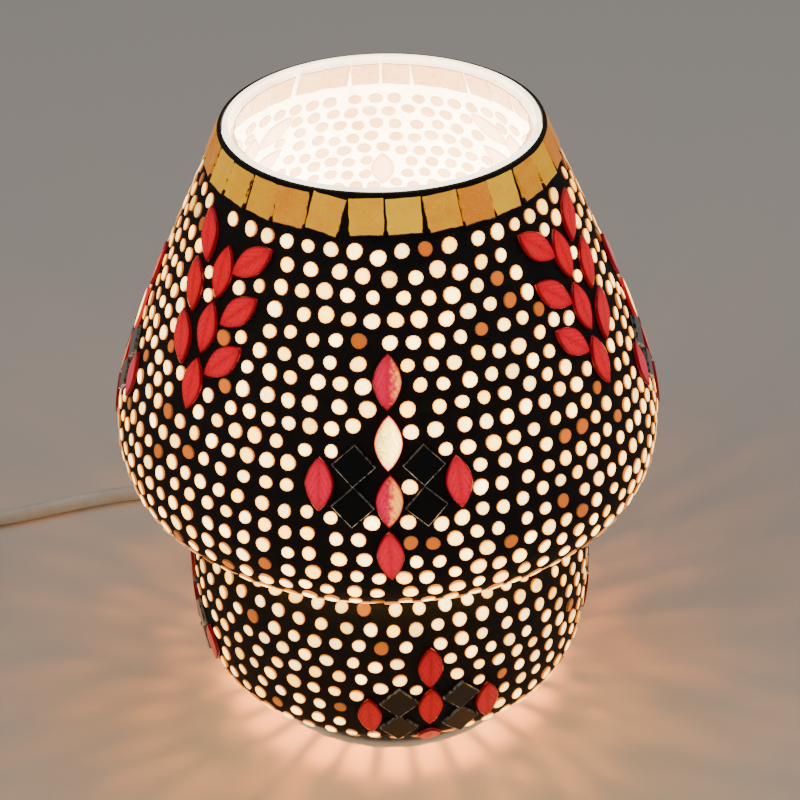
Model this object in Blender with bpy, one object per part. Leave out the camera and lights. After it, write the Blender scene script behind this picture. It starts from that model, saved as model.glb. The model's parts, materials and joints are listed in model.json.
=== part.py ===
"""Mosaic glass table lamp: a one-piece blown glass mushroom shade and bowl under a jacket of grout and glass
pieces, standing over a small steel base that holds an E14 lampholder, a golf-ball bulb, a white flex with an
inline rocker switch, a coil of spare flex and a two-pin plug.

Dimensions are in millimetres and are turned into metres when meshes are made. +Z is up, the table is z = 0,
the lamp's axis is the Z axis and its front faces -Y. The flex leaves at the back, +Y.
"""

import math

import bmesh
import bpy
import numpy as np
from mathutils import Matrix, Vector

for old in list(bpy.data.objects):
    bpy.data.objects.remove(old, do_unlink=True)

MM = 0.001

# ---------------------------------------------------------------- main sizes
SEGMENTS = 30
SHADE_PROFILE = [(59.0, 80.8), (69.0, 85.5), (80.0, 91.0), (87.6, 98.5), (90.2, 109.0), (89.0, 121.0),
                 (83.3, 139.0), (74.4, 161.0), (63.8, 185.0), (54.8, 204.0), (49.6, 215.0)]
BOWL_PROFILE = [(47.8, 14.3), (54.0, 14.5), (61.5, 16.3), (67.2, 22.5), (69.2, 32.0), (70.0, 46.0),
                (69.6, 61.0), (66.5, 73.0), (59.0, 80.2)]
GROUT_BELOW = 0.9
GROUT_THICK = 1.3
GAP = 0.3
GLASS_THICK = 2.2
LIP_TOP = 216.0
LIP_OUTER = 48.4
LIP_INNER = 46.4
RIM_BAND_LOW = 203.6
RIM_TILES = 30
FOOT_TILES = 28
FOOT_OUTER = 45.0
FOOT_BOTTOM = 5.0
BAND_BACK = 0.4

PETAL_LENGTH = 16.4
PETAL_WIDTH = 8.2
MIRROR_SIDE = 9.0
PIECE_THICK = 1.1

# Motif pieces: kind, distance to the side (mm), height (mm), lean (degrees, + turns the top to the right).
SHADE_CROSS = [("petal", 0.0, 166.8, 0), ("petal", 0.0, 150.3, 0), ("petal", 0.0, 134.0, 0),
               ("petal", 0.0, 117.6, 0), ("petal", -20.6, 138.0, 0), ("petal", 20.6, 138.0, 0),
               ("mirror", -10.2, 143.9, 45), ("mirror", -10.8, 132.2, 45),
               ("mirror", 10.2, 143.9, 45), ("mirror", 10.8, 132.2, 45)]
SHADE_SPRIG = [("petal", 0.0, 154.0, 0), ("petal", 0.0, 170.6, 0), ("petal", 0.0, 186.6, 0),
               ("petal", -10.2, 164.0, -25), ("petal", -11.4, 179.0, -25), ("petal", -11.2, 193.4, -30),
               ("petal", 9.8, 164.0, 45), ("petal", 10.4, 178.6, 45), ("petal", 10.0, 192.6, 45)]
BOWL_CROSS = [("petal", 0.0, 54.4, 0), ("petal", 0.0, 37.2, 0), ("half", 0.0, 22.6, 0),
              ("petal", -20.0, 34.0, 0), ("petal", 20.0, 34.0, 0),
              ("mirror", -10.4, 40.0, 45), ("mirror", -10.4, 28.4, 45),
              ("mirror", 10.4, 40.0, 45), ("mirror", 10.4, 28.4, 45)]
# Bedding strips under the pieces: side and height of both ends (mm), and width.
SHADE_CROSS_BEDS = [(0.0, 166.8, 0.0, 117.6, 2.2), (-20.6, 138.0, 20.6, 138.0, 2.6)]
SHADE_SPRIG_BEDS = [(0.0, 154.0, 0.0, 186.6, 2.2), (-10.2, 163.5, 9.8, 163.5, 1.8),
                    (-11.4, 178.5, 10.4, 178.5, 1.8), (-11.2, 192.2, 10.0, 192.2, 1.8)]
BOWL_CROSS_BEDS = [(0.0, 54.4, 0.0, 23.5, 2.2), (-20.0, 34.2, 20.0, 34.2, 2.6)]
CROSS_TURNS = (0, 90, 180, 270)
SPRIG_TURNS = ((-49, 1), (57, -1), (-131, -1), (131, 1))
BOWL_TURNS = (10, 100, 190, 280)

# Base
FOOT_PAD_RADIUS = 4.5
FOOT_PAD_HEIGHT = 1.7
FOOT_PAD_CIRCLE = 36.0
PLATE_RADIUS = 46.2
PLATE_LOW = 2.0
PLATE_HIGH = 4.0
CLIP_ANGLES = (330, 210, 30)
PAD_ANGLES = (270, 30, 150)
RIVET_CIRCLE = 35.0
BRACKET_RIVET_Y = 26.5

# Lampholder and bulb, E14 thread
THREAD_PITCH = 2.822
THREAD_CREST = 6.95
THREAD_ROOT = 6.15
THREAD_CLEAR = 0.5
SHELL_THICK = 0.5
THREAD_LOW = 19.0
THREAD_HIGH = 28.9
THREAD_SEGMENTS = 16
BULB_RADIUS = 22.5
BULB_CENTRE = 68.5

# Flex
FLEX = 6.0
EXIT_Z = 9.6
SWITCH_LENGTH = 60.0
SWITCH_WIDTH = 25.0
COIL_CENTRE = (-234.1, -2.0)
COIL_RADIUS = 33.0
PLUG_START = (-175.4, 0.2, 7.4)


# ---------------------------------------------------------------- materials
def material(name, color, roughness, metallic=0.0, alpha=1.0, transmission=0.0):
    """A Principled material."""
    found = bpy.data.materials.get(name)
    if found:
        return found
    made = bpy.data.materials.new(name)
    made.use_nodes = True
    made.diffuse_color = (*color, alpha)
    shader = made.node_tree.nodes["Principled BSDF"]
    shader.inputs["Base Color"].default_value = (*color, 1.0)
    shader.inputs["Roughness"].default_value = roughness
    shader.inputs["Metallic"].default_value = metallic
    shader.inputs["Alpha"].default_value = alpha
    shader.inputs["Transmission Weight"].default_value = transmission
    return made


COLORS = {
    "clear_glass": ((0.93, 0.95, 0.94), 0.05, 0.0, 0.35, 0.0),
    "black_grout": ((0.02, 0.018, 0.016), 0.85, 0.0, 1.0, 0.0),
    "gold_glass": ((0.86, 0.50, 0.10), 0.22, 0.0, 1.0, 0.0),
    "red_glass": ((0.72, 0.01, 0.03), 0.15, 0.0, 1.0, 0.0),
    "black_steel": ((0.03, 0.03, 0.03), 0.45, 0.0, 1.0, 0.0),
    "black_rubber": ((0.02, 0.02, 0.02), 0.80, 0.0, 1.0, 0.0),
    "spring_steel": ((0.60, 0.60, 0.62), 0.30, 1.0, 1.0, 0.0),
    "zinc_screw": ((0.70, 0.71, 0.72), 0.28, 1.0, 1.0, 0.0),
    "black_phenolic": ((0.03, 0.028, 0.027), 0.38, 0.0, 1.0, 0.0),
    "brass": ((0.78, 0.57, 0.22), 0.25, 1.0, 1.0, 0.0),
    "nickel_cap": ((0.75, 0.74, 0.70), 0.25, 1.0, 1.0, 0.0),
    "frosted_glass": ((0.95, 0.94, 0.90), 0.35, 0.0, 0.60, 0.0),
    "stem_glass": ((0.90, 0.93, 0.92), 0.08, 0.0, 0.40, 0.0),
    "tungsten": ((0.45, 0.43, 0.40), 0.40, 1.0, 1.0, 0.0),
    "white_pvc": ((0.86, 0.85, 0.82), 0.42, 0.0, 1.0, 0.0),
    "white_plastic": ((0.88, 0.87, 0.84), 0.32, 0.0, 1.0, 0.0),
    "brown_wire": ((0.25, 0.11, 0.05), 0.45, 0.0, 1.0, 0.0),
    "blue_wire": ((0.05, 0.16, 0.42), 0.45, 0.0, 1.0, 0.0),
}


def finish(obj, kind, smooth=True):
    """Gives an object its own material and its shading."""
    color, roughness, metallic, alpha, transmission = COLORS[kind]
    obj.data.materials.clear()
    obj.data.materials.append(material(obj.name, color, roughness, metallic, alpha, transmission))
    if obj.type == "MESH":
        for polygon in obj.data.polygons:
            polygon.use_smooth = smooth
        if smooth:
            obj.data.set_sharp_from_angle(angle=math.radians(32))
    return obj


# ---------------------------------------------------------------- mesh helpers
def mesh_object(name, points, faces, kind, smooth=True, place=None, origin=None):
    """One closed body from points in mm. place maps it into the world, origin is its axis point in mm."""
    mesh = bpy.data.meshes.new(name)
    moved = [place @ Vector(point) if place else Vector(point) for point in points]
    middle = Vector(origin) if origin else Vector((0.0, 0.0, 0.0))
    mesh.from_pydata([(point - middle) * MM for point in moved], [], faces)
    bm = bmesh.new()
    bm.from_mesh(mesh)
    bmesh.ops.recalc_face_normals(bm, faces=bm.faces)
    if bm.calc_volume(signed=True) < 0:
        bmesh.ops.reverse_faces(bm, faces=bm.faces)
    bm.to_mesh(mesh)
    bm.free()
    obj = bpy.data.objects.new(name, mesh)
    obj.location = middle * MM
    bpy.context.scene.collection.objects.link(obj)
    return finish(obj, kind, smooth)


def turned(profile, closed, segments=SEGMENTS, start=0.0):
    """Points and faces of a profile of (radius, height) turned about Z. Points on the axis become one point."""
    points = []
    rings = []
    for radius, height in profile:
        if radius < 1e-6:
            rings.append([len(points)])
            points.append((0.0, 0.0, height))
            continue
        rings.append(list(range(len(points), len(points) + segments)))
        for step in range(segments):
            angle = start + 2 * math.pi * step / segments
            points.append((radius * math.cos(angle), radius * math.sin(angle), height))
    faces = []
    count = len(rings)
    for index in range(count if closed else count - 1):
        low = rings[index]
        high = rings[(index + 1) % count]
        for step in range(segments):
            after = (step + 1) % segments
            corners = [low[step % len(low)], low[after % len(low)], high[after % len(high)], high[step % len(high)]]
            kept = list(dict.fromkeys(corners))
            if len(kept) > 2:
                faces.append(kept)
    return points, faces


def lathe(name, profile, kind, closed=True, segments=SEGMENTS, place=None, smooth=True):
    """A turned body."""
    points, faces = turned(profile, closed, segments)
    return mesh_object(name, points, faces, kind, smooth, place)


def loft(name, rings, kind, closed=False, smooth=False, place=None, origin=None):
    """A body through rings of equal point counts: capped at both ends, or closed end to start."""
    points = [point for ring in rings for point in ring]
    count = len(rings[0])
    faces = []
    for index in range(len(rings) if closed else len(rings) - 1):
        low = index * count
        high = ((index + 1) % len(rings)) * count
        for step in range(count):
            after = (step + 1) % count
            faces.append([low + step, low + after, high + after, high + step])
    if not closed:
        faces.append(list(range(count))[::-1])
        faces.append(list(range(len(points) - count, len(points))))
    return mesh_object(name, points, faces, kind, smooth, place, origin)


def rounded_rect(length, width, radius, height, per_corner=3):
    """A rounded rectangle outline at one height."""
    radius = min(radius, length / 2 - 0.01, width / 2 - 0.01)
    outline = []
    for corner, (sx, sy) in enumerate([(1, 1), (-1, 1), (-1, -1), (1, -1)]):
        for step in range(per_corner):
            angle = math.pi / 2 * (corner + step / (per_corner - 1))
            outline.append((sx * (length / 2 - radius) + radius * math.cos(angle),
                            sy * (width / 2 - radius) + radius * math.sin(angle), height))
    return outline


def join_solids(name, pieces, kind, smooth=False):
    """One body from overlapping closed pieces, given as (points, faces) in mm."""
    made = [mesh_object(f"{name}_{index}", points, faces, kind) for index, (points, faces) in enumerate(pieces)]
    base = made[0]
    for other in made[1:]:
        combine(base, other, "UNION")
    base.name = name
    base.data.name = name
    return finish(base, kind, smooth)


def combine(obj, other, operation):
    """Applies an exact Boolean of other to obj and removes other."""
    modifier = obj.modifiers.new("cut", "BOOLEAN")
    modifier.operation = operation
    modifier.solver = "EXACT"
    modifier.object = other
    bpy.context.view_layer.update()
    graph = bpy.context.evaluated_depsgraph_get()
    mesh = bpy.data.meshes.new_from_object(obj.evaluated_get(graph))
    obj.modifiers.clear()
    obj.data = mesh
    bpy.data.objects.remove(other, do_unlink=True)
    return obj


def cylinder_cut(obj, radius, low, high, x=0.0, y=0.0, segments=10):
    """A round hole along Z."""
    place = Matrix.Translation((x, y, 0.0)) @ Matrix.Rotation(0.11, 4, "Z")
    cutter = lathe("cutter", [(0.0, low), (radius, low), (radius, high), (0.0, high)], "brass",
                   closed=False, segments=segments, place=place)
    kept = [polygon.use_smooth for polygon in obj.data.polygons][:1]
    combine(obj, cutter, "DIFFERENCE")
    for polygon in obj.data.polygons:
        polygon.use_smooth = bool(kept and kept[0])
    obj.data.set_sharp_from_angle(angle=math.radians(32))
    return obj


def smooth_path(knots, step):
    """Points at equal spacing on a smooth curve through the knots."""
    knots = [np.array(knot, float) for knot in knots]
    knots = [2 * knots[0] - knots[1]] + knots + [2 * knots[-1] - knots[-2]]
    dense = []
    for a, b, c, d in zip(knots, knots[1:], knots[2:], knots[3:]):
        for t in np.linspace(0, 1, 24, endpoint=False):
            dense.append(0.5 * (2 * b + (c - a) * t + (2 * a - 5 * b + 4 * c - d) * t ** 2
                                + (3 * b - a - 3 * c + d) * t ** 3))
    dense.append(knots[-2])
    dense = np.array(dense)
    along = np.concatenate([[0.0], np.cumsum(np.linalg.norm(np.diff(dense, axis=0), axis=1))])
    count = max(3, int(round(along[-1] / step)) + 1)
    at = np.linspace(0.0, along[-1], count)
    return np.stack([np.interp(at, along, dense[:, axis]) for axis in range(dense.shape[1])], axis=1)


def tube(name, points, diameter, kind, resolution=3):
    """A round curve tube with filled ends."""
    curve = bpy.data.curves.new(name, "CURVE")
    curve.dimensions = "3D"
    curve.bevel_depth = diameter / 2 * MM
    curve.bevel_resolution = resolution
    curve.use_fill_caps = True
    curve.resolution_u = 1
    spline = curve.splines.new("POLY")
    spline.points.add(len(points) - 1)
    for target, point in zip(spline.points, points):
        target.co = (*(float(value) * MM for value in point), 1.0)
    obj = bpy.data.objects.new(name, curve)
    bpy.context.scene.collection.objects.link(obj)
    return finish(obj, kind)


# ---------------------------------------------------------------- profiles of the glass
def fine(knots, step=1.0):
    """Smooth, finely spaced (radius, height) points through the knots, from low to high."""
    return smooth_path(knots, step)


def inset(curve, depth):
    """The curve moved inward, to the left-hand side as it climbs."""
    slope = np.gradient(curve, axis=0)
    slope /= np.linalg.norm(slope, axis=1)[:, None]
    return curve + depth * np.stack([-slope[:, 1], slope[:, 0]], axis=1)


def stations(curve, spacing, extra):
    """Indices of a few points of a fine curve, closer together where it bends, and at the extra heights."""
    slope = np.gradient(curve, axis=0)
    turn = np.abs(np.diff(np.unwrap(np.arctan2(slope[:, 1], slope[:, 0]))))
    length = np.linalg.norm(np.diff(curve, axis=0), axis=1)
    along = np.concatenate([[0.0], np.cumsum(length / spacing + turn / 0.65)])
    at = np.linspace(0.0, along[-1], int(round(along[-1])) + 1)
    found = {int(np.argmin(np.abs(along - value))) for value in at}
    found = {index for index in found if min(abs(curve[index, 1] - height) for height in extra) > 2.0}
    return sorted(found | {int(np.argmin(np.abs(curve[:, 1] - height))) for height in extra})


def shell(curve, stops, depth, low=0.0, high=999.0):
    """The curve's stations between two heights, moved inward by the depth."""
    moved = inset(curve, depth)
    return [tuple(float(value) for value in moved[index]) for index in stops if low <= curve[index, 1] <= high]


SHADE = fine(SHADE_PROFILE)
BOWL = fine(BOWL_PROFILE)
SHADE_STOPS = stations(SHADE, 40.0, (81.4, 84.0, RIM_BAND_LOW - 0.7, 208.5))
BOWL_STOPS = stations(BOWL, 40.0, (BOWL_PROFILE[1][1], 76.5, 79.4))
GLASS_BELOW = GROUT_BELOW + GROUT_THICK + GAP


def surface(curve, side, height, depth):
    """A point of the turned surface, its outward normal and its upward tangent. side is in mm round from -Y."""
    order = np.argsort(curve[:, 1], kind="stable")
    slope = np.gradient(curve, axis=0)
    slope /= np.linalg.norm(slope, axis=1)[:, None]
    radius = float(np.interp(height, curve[order, 1], curve[order, 0]))
    up_r = float(np.interp(height, curve[order, 1], slope[order, 0]))
    up_z = float(np.interp(height, curve[order, 1], slope[order, 1]))
    angle = side / radius - math.pi / 2
    out = Vector((math.cos(angle), math.sin(angle), 0.0))
    up = (out * up_r + Vector((0.0, 0.0, up_z))).normalized()
    normal = (out * up_z - Vector((0.0, 0.0, up_r))).normalized()
    point = out * radius + Vector((0.0, 0.0, height)) - normal * depth
    return point, normal, up


def leaf_outline(length, width):
    """A pointed leaf of six corners."""
    half = [(0.0, 0.5), (0.5, 0.13), (0.5, -0.13), (0.0, -0.5), (-0.5, -0.13), (-0.5, 0.13)]
    return [(x * width, y * length) for x, y in half]


def square_outline(side):
    """A square."""
    return [(x * side / 2, y * side / 2) for x, y in [(1, 1), (-1, 1), (-1, -1), (1, -1)]]


def flat_piece(curve, kind, side, height, lean):
    """A flat glass piece lying on the grout."""
    outlines = {"petal": leaf_outline(PETAL_LENGTH, PETAL_WIDTH), "half": leaf_outline(9.0, PETAL_WIDTH),
                "mirror": square_outline(MIRROR_SIDE)}
    point, normal, up = surface(curve, side, height, GROUT_BELOW - GAP)
    right = up.cross(normal)
    turn = math.radians(lean)
    across = right * math.cos(turn) - up * math.sin(turn)
    along = right * math.sin(turn) + up * math.cos(turn)
    outline = outlines[kind]
    points = []
    for lift, shrink in [(0.0, 1.0), (PIECE_THICK, 0.93)]:
        points += [point + normal * lift + across * x * shrink + along * y * shrink for x, y in outline]
    count = len(outline)
    faces = [[i, (i + 1) % count, count + (i + 1) % count, count + i] for i in range(count)]
    return points, faces + [list(range(count))[::-1], list(range(count, 2 * count))]


def bed_strip(curve, side0, height0, side1, height1, width):
    """A thin strip of bedding that follows the surface from one point to another."""
    length = math.hypot(side1 - side0, height1 - height0)
    steps = max(2, int(length / 10.0))
    points = []
    for step in range(steps + 1):
        share = step / steps
        side = side0 + (side1 - side0) * share
        height = height0 + (height1 - height0) * share
        base, normal, up = surface(curve, side, height, GROUT_BELOW - GAP)
        right = up.cross(normal)
        along = right * (side1 - side0) + up * (height1 - height0)
        across = normal.cross(along.normalized())
        for lift, edge in [(0.05, -0.5), (0.05, 0.5), (0.65, 0.5), (0.65, -0.5)]:
            points.append(base + normal * lift + across * edge * width)
    faces = []
    for step in range(steps):
        for i in range(4):
            faces.append([step * 4 + i, step * 4 + (i + 1) % 4, step * 4 + 4 + (i + 1) % 4, step * 4 + 4 + i])
    last = steps * 4
    return points, faces + [[3, 2, 1, 0], [last, last + 1, last + 2, last + 3]]


def motif(name, curve, pieces, beds):
    """A motif facing -Y: its flat pieces joined by the bedding under them."""
    solids = [bed_strip(curve, *bed) for bed in beds]
    solids += [flat_piece(curve, *piece) for piece in pieces]
    return join_solids(name, solids, "red_glass")


def turned_copy(source, name, degrees, flip=1):
    """A copy turned about Z, and mirrored left to right when flip is -1."""
    mesh = source.data.copy()
    mesh.name = name
    mesh.transform(Matrix.Diagonal((flip, 1.0, 1.0, 1.0)))
    mesh.transform(Matrix.Rotation(math.radians(degrees), 4, "Z"))
    if flip < 0:
        mesh.flip_normals()
    obj = bpy.data.objects.new(name, mesh)
    bpy.context.scene.collection.objects.link(obj)
    return finish(obj, "red_glass", False)


def tile_band(name, count, outer_low, outer_high, inner_low, inner_high, skip=False):
    """A ring of flat tiles on a bed, one flat a tile. Each edge is (radius, height). skip leaves one out at +Y."""
    section = [inner_low, outer_low, outer_high, inner_high]
    pitch = 2 * math.pi / count
    cross_sections = []
    for joint in range(1 if skip else 0, count):
        angle = math.pi / 2 + (joint - (0.5 if skip else 0.0)) * pitch
        corner = 1.0 / math.cos(pitch / 2)
        cross_sections.append([(radius * corner * math.cos(angle), radius * corner * math.sin(angle), height)
                               for radius, height in section])
    if skip:
        angle = math.pi / 2 - pitch / 2
        cross_sections.append([(radius * corner * math.cos(angle), radius * corner * math.sin(angle), height)
                               for radius, height in section])
    return loft(name, cross_sections, "gold_glass", closed=not skip)


# ---------------------------------------------------------------- glass, grout and mosaic
def make_glass():
    """The blown glass body in one piece, with the arch for the flex at the back of its foot."""
    wall_out = [(FOOT_OUTER, FOOT_BOTTOM), (FOOT_OUTER, 15.6)]
    wall_out += [point for point in shell(BOWL, BOWL_STOPS, GLASS_BELOW, high=79.6) if point[0] > 50.0]
    wall_out += shell(SHADE, SHADE_STOPS, GLASS_BELOW, low=81.2, high=209.0)
    wall_out += [(LIP_OUTER, 213.4), (LIP_OUTER, LIP_TOP - 0.6), (LIP_OUTER - 0.6, LIP_TOP)]
    deep = GLASS_BELOW + GLASS_THICK
    wall_in = [(FOOT_OUTER - GLASS_THICK, FOOT_BOTTOM), (FOOT_OUTER - GLASS_THICK, 17.4)]
    wall_in += [point for point in shell(BOWL, BOWL_STOPS, deep, high=77.0) if point[0] > 49.0]
    wall_in += [(55.2, 78.8), (55.2, 83.4)]
    wall_in += shell(SHADE, SHADE_STOPS, deep, low=83.6, high=209.0)
    wall_in += [(LIP_INNER, 212.6), (LIP_INNER, LIP_TOP - 0.6), (LIP_INNER + 0.6, LIP_TOP)]
    glass = lathe("glass_body", wall_out + wall_in[::-1], "clear_glass")
    points = []
    for y in (36.0, 50.0):
        points += [(5.3, y, 2.0), (5.3, y, 10.4), (3.9, y, 12.8), (0.3, y, 13.9), (-3.9, y, 12.8), (-5.3, y, 10.4),
                   (-5.3, y, 2.0)]
    count = len(points) // 2
    faces = [[i, (i + 1) % count, count + (i + 1) % count, count + i] for i in range(count)]
    cutter = mesh_object("arch", points, faces + [list(range(count))[::-1], list(range(count, 2 * count))], "brass")
    combine(glass, cutter, "DIFFERENCE")
    finish(glass, "clear_glass")
    return glass


def make_jackets():
    """The grout jackets of shade and bowl, and the two tile bands."""
    for name, curve, stops, top in (("shade_grout", SHADE, SHADE_STOPS, RIM_BAND_LOW),
                                    ("bowl_grout", BOWL, BOWL_STOPS, 79.6)):
        out = [point for point in shell(curve, stops, GROUT_BELOW, high=top) if point[0] > 48.8]
        inner = [point for point in shell(curve, stops, GROUT_BELOW + GROUT_THICK, high=top) if point[0] > 48.8]
        lathe(name, out + inner[::-1], "black_grout")
    rim = inset(SHADE, -0.1)
    behind = inset(SHADE, GLASS_BELOW - BAND_BACK)
    high = (float(np.interp(214.9, rim[:, 1], rim[:, 0])), 214.9)
    low = (float(np.interp(RIM_BAND_LOW + 0.3, rim[:, 1], rim[:, 0])), RIM_BAND_LOW + 0.3)
    low_in = (float(np.interp(RIM_BAND_LOW - 0.6, behind[:, 1], behind[:, 0])), RIM_BAND_LOW - 0.6)
    high_in = (LIP_OUTER + 0.45, 214.2)
    tile_band("rim_tile_band", RIM_TILES, low, high, low_in, high_in)
    tile_band("foot_tile_band", FOOT_TILES, (47.3, 5.0), (47.3, 13.6), (45.5, 5.0), (45.5, 13.6), skip=True)


def make_motifs():
    """The twelve motifs of red leaves and mirrors."""
    cross = motif("cross", SHADE, SHADE_CROSS, SHADE_CROSS_BEDS)
    sprig = motif("sprig", SHADE, SHADE_SPRIG, SHADE_SPRIG_BEDS)
    bowl_cross = motif("bowl", BOWL, BOWL_CROSS, BOWL_CROSS_BEDS)
    for index, turn in enumerate(CROSS_TURNS, 1):
        turned_copy(cross, f"shade_cross_{index}", turn)
    for index, (turn, flip) in enumerate(SPRIG_TURNS, 1):
        turned_copy(sprig, f"shade_sprig_{index}", turn, flip)
    for index, turn in enumerate(BOWL_TURNS, 1):
        turned_copy(bowl_cross, f"bowl_cross_{index}", turn)
    for master in (cross, sprig, bowl_cross):
        bpy.data.objects.remove(master, do_unlink=True)


# ---------------------------------------------------------------- steel base
def make_base():
    """Plate, pads, gasket, spring clips and rivets."""
    rim = [(0.0, PLATE_LOW), (PLATE_RADIUS, PLATE_LOW), (PLATE_RADIUS, PLATE_HIGH - 0.5),
           (PLATE_RADIUS - 0.5, PLATE_HIGH), (0.0, PLATE_HIGH)]
    plate = lathe("base_plate", rim, "black_steel", closed=False)
    for angle in CLIP_ANGLES:
        turn = math.radians(angle)
        cylinder_cut(plate, 1.8, 0.0, 6.0, RIVET_CIRCLE * math.cos(turn), RIVET_CIRCLE * math.sin(turn), 10)
    for x in (-8.0, 8.0):
        cylinder_cut(plate, 1.8, 0.0, 6.0, x, 0.0, 10)
    cylinder_cut(plate, 1.8, 0.0, 6.0, 0.0, BRACKET_RIVET_Y, 10)
    ring = [(45.4, 4.3), (45.4, 4.7), (42.4, 4.7), (42.4, 4.3)]
    gasket = lathe("seat_gasket", ring, "black_rubber")
    points = [(x, y, z) for z in (3.0, 6.0) for x, y in [(5.3, 38.0), (5.3, 50.0), (-5.3, 50.0), (-5.3, 38.0)]]
    faces = [[0, 1, 5, 4], [1, 2, 6, 5], [2, 3, 7, 6], [3, 0, 4, 7], [3, 2, 1, 0], [4, 5, 6, 7]]
    combine(gasket, mesh_object("gap", points, faces, "brass"), "DIFFERENCE")
    finish(gasket, "black_rubber")
    for index, angle in enumerate(PAD_ANGLES, 1):
        turn = math.radians(angle)
        place = Matrix.Translation((FOOT_PAD_CIRCLE * math.cos(turn + 0.42), FOOT_PAD_CIRCLE * math.sin(turn + 0.42), 0))
        pad = [(0.0, 0.0), (FOOT_PAD_RADIUS - 0.4, 0.0), (FOOT_PAD_RADIUS, 0.4), (FOOT_PAD_RADIUS, FOOT_PAD_HEIGHT),
               (0.0, FOOT_PAD_HEIGHT)]
        lathe(f"rubber_foot_{index}", pad, "black_rubber", closed=False, segments=14, place=place)
    for index, angle in enumerate(CLIP_ANGLES, 1):
        place = Matrix.Rotation(math.radians(angle), 4, "Z")
        side = [(29.5, 4.3), (41.0, 4.3), (41.7, 4.9), (41.2, 9.0), (42.2, 11.4), (40.6, 15.2), (39.8, 15.0),
                (41.2, 11.4), (40.3, 9.0), (40.7, 5.1), (29.5, 5.1)]
        rings = [[(x, y, z) for x, z in side] for y in (-4.5, 4.5)]
        clip = loft(f"retaining_clip_{index}", rings, "spring_steel", place=place)
        turn = math.radians(angle)
        x, y = RIVET_CIRCLE * math.cos(turn), RIVET_CIRCLE * math.sin(turn)
        cylinder_cut(clip, 1.8, 3.0, 7.0, x, y, 10)
        body = [(0.0, 0.9), (2.6, 0.9), (2.9, 1.7), (1.3, 1.7), (1.3, 5.4), (2.9, 5.4), (2.5, 6.4), (0.0, 6.6)]
        lathe(f"clip_rivet_{index}", body, "zinc_screw", closed=False, segments=10, place=Matrix.Translation((x, y, 0)))


# ---------------------------------------------------------------- lampholder
def thread_radius(angle, height, extra):
    """Radius of the rounded E14 thread at a turn angle and a height."""
    middle = (THREAD_CREST + THREAD_ROOT) / 2
    swing = (THREAD_CREST - THREAD_ROOT) / 2
    return middle + extra + swing * math.cos(2 * math.pi * (height / THREAD_PITCH) - angle)


def threaded_wall(low, high, extra):
    """Rings of points of the thread's surface from low to high."""
    levels = int(round((high - low) / (THREAD_PITCH / 4)))
    rings = []
    for level in range(levels + 1):
        height = low + (high - low) * level / levels
        ring = []
        for step in range(THREAD_SEGMENTS):
            angle = 2 * math.pi * step / THREAD_SEGMENTS
            radius = thread_radius(angle, height, extra)
            ring.append((radius * math.cos(angle), radius * math.sin(angle), height))
        rings.append(ring)
    return rings


def flat_ring(radius, height, segments=THREAD_SEGMENTS):
    """One ring of points."""
    return [(radius * math.cos(2 * math.pi * i / segments), radius * math.sin(2 * math.pi * i / segments), height)
            for i in range(segments)]


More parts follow.
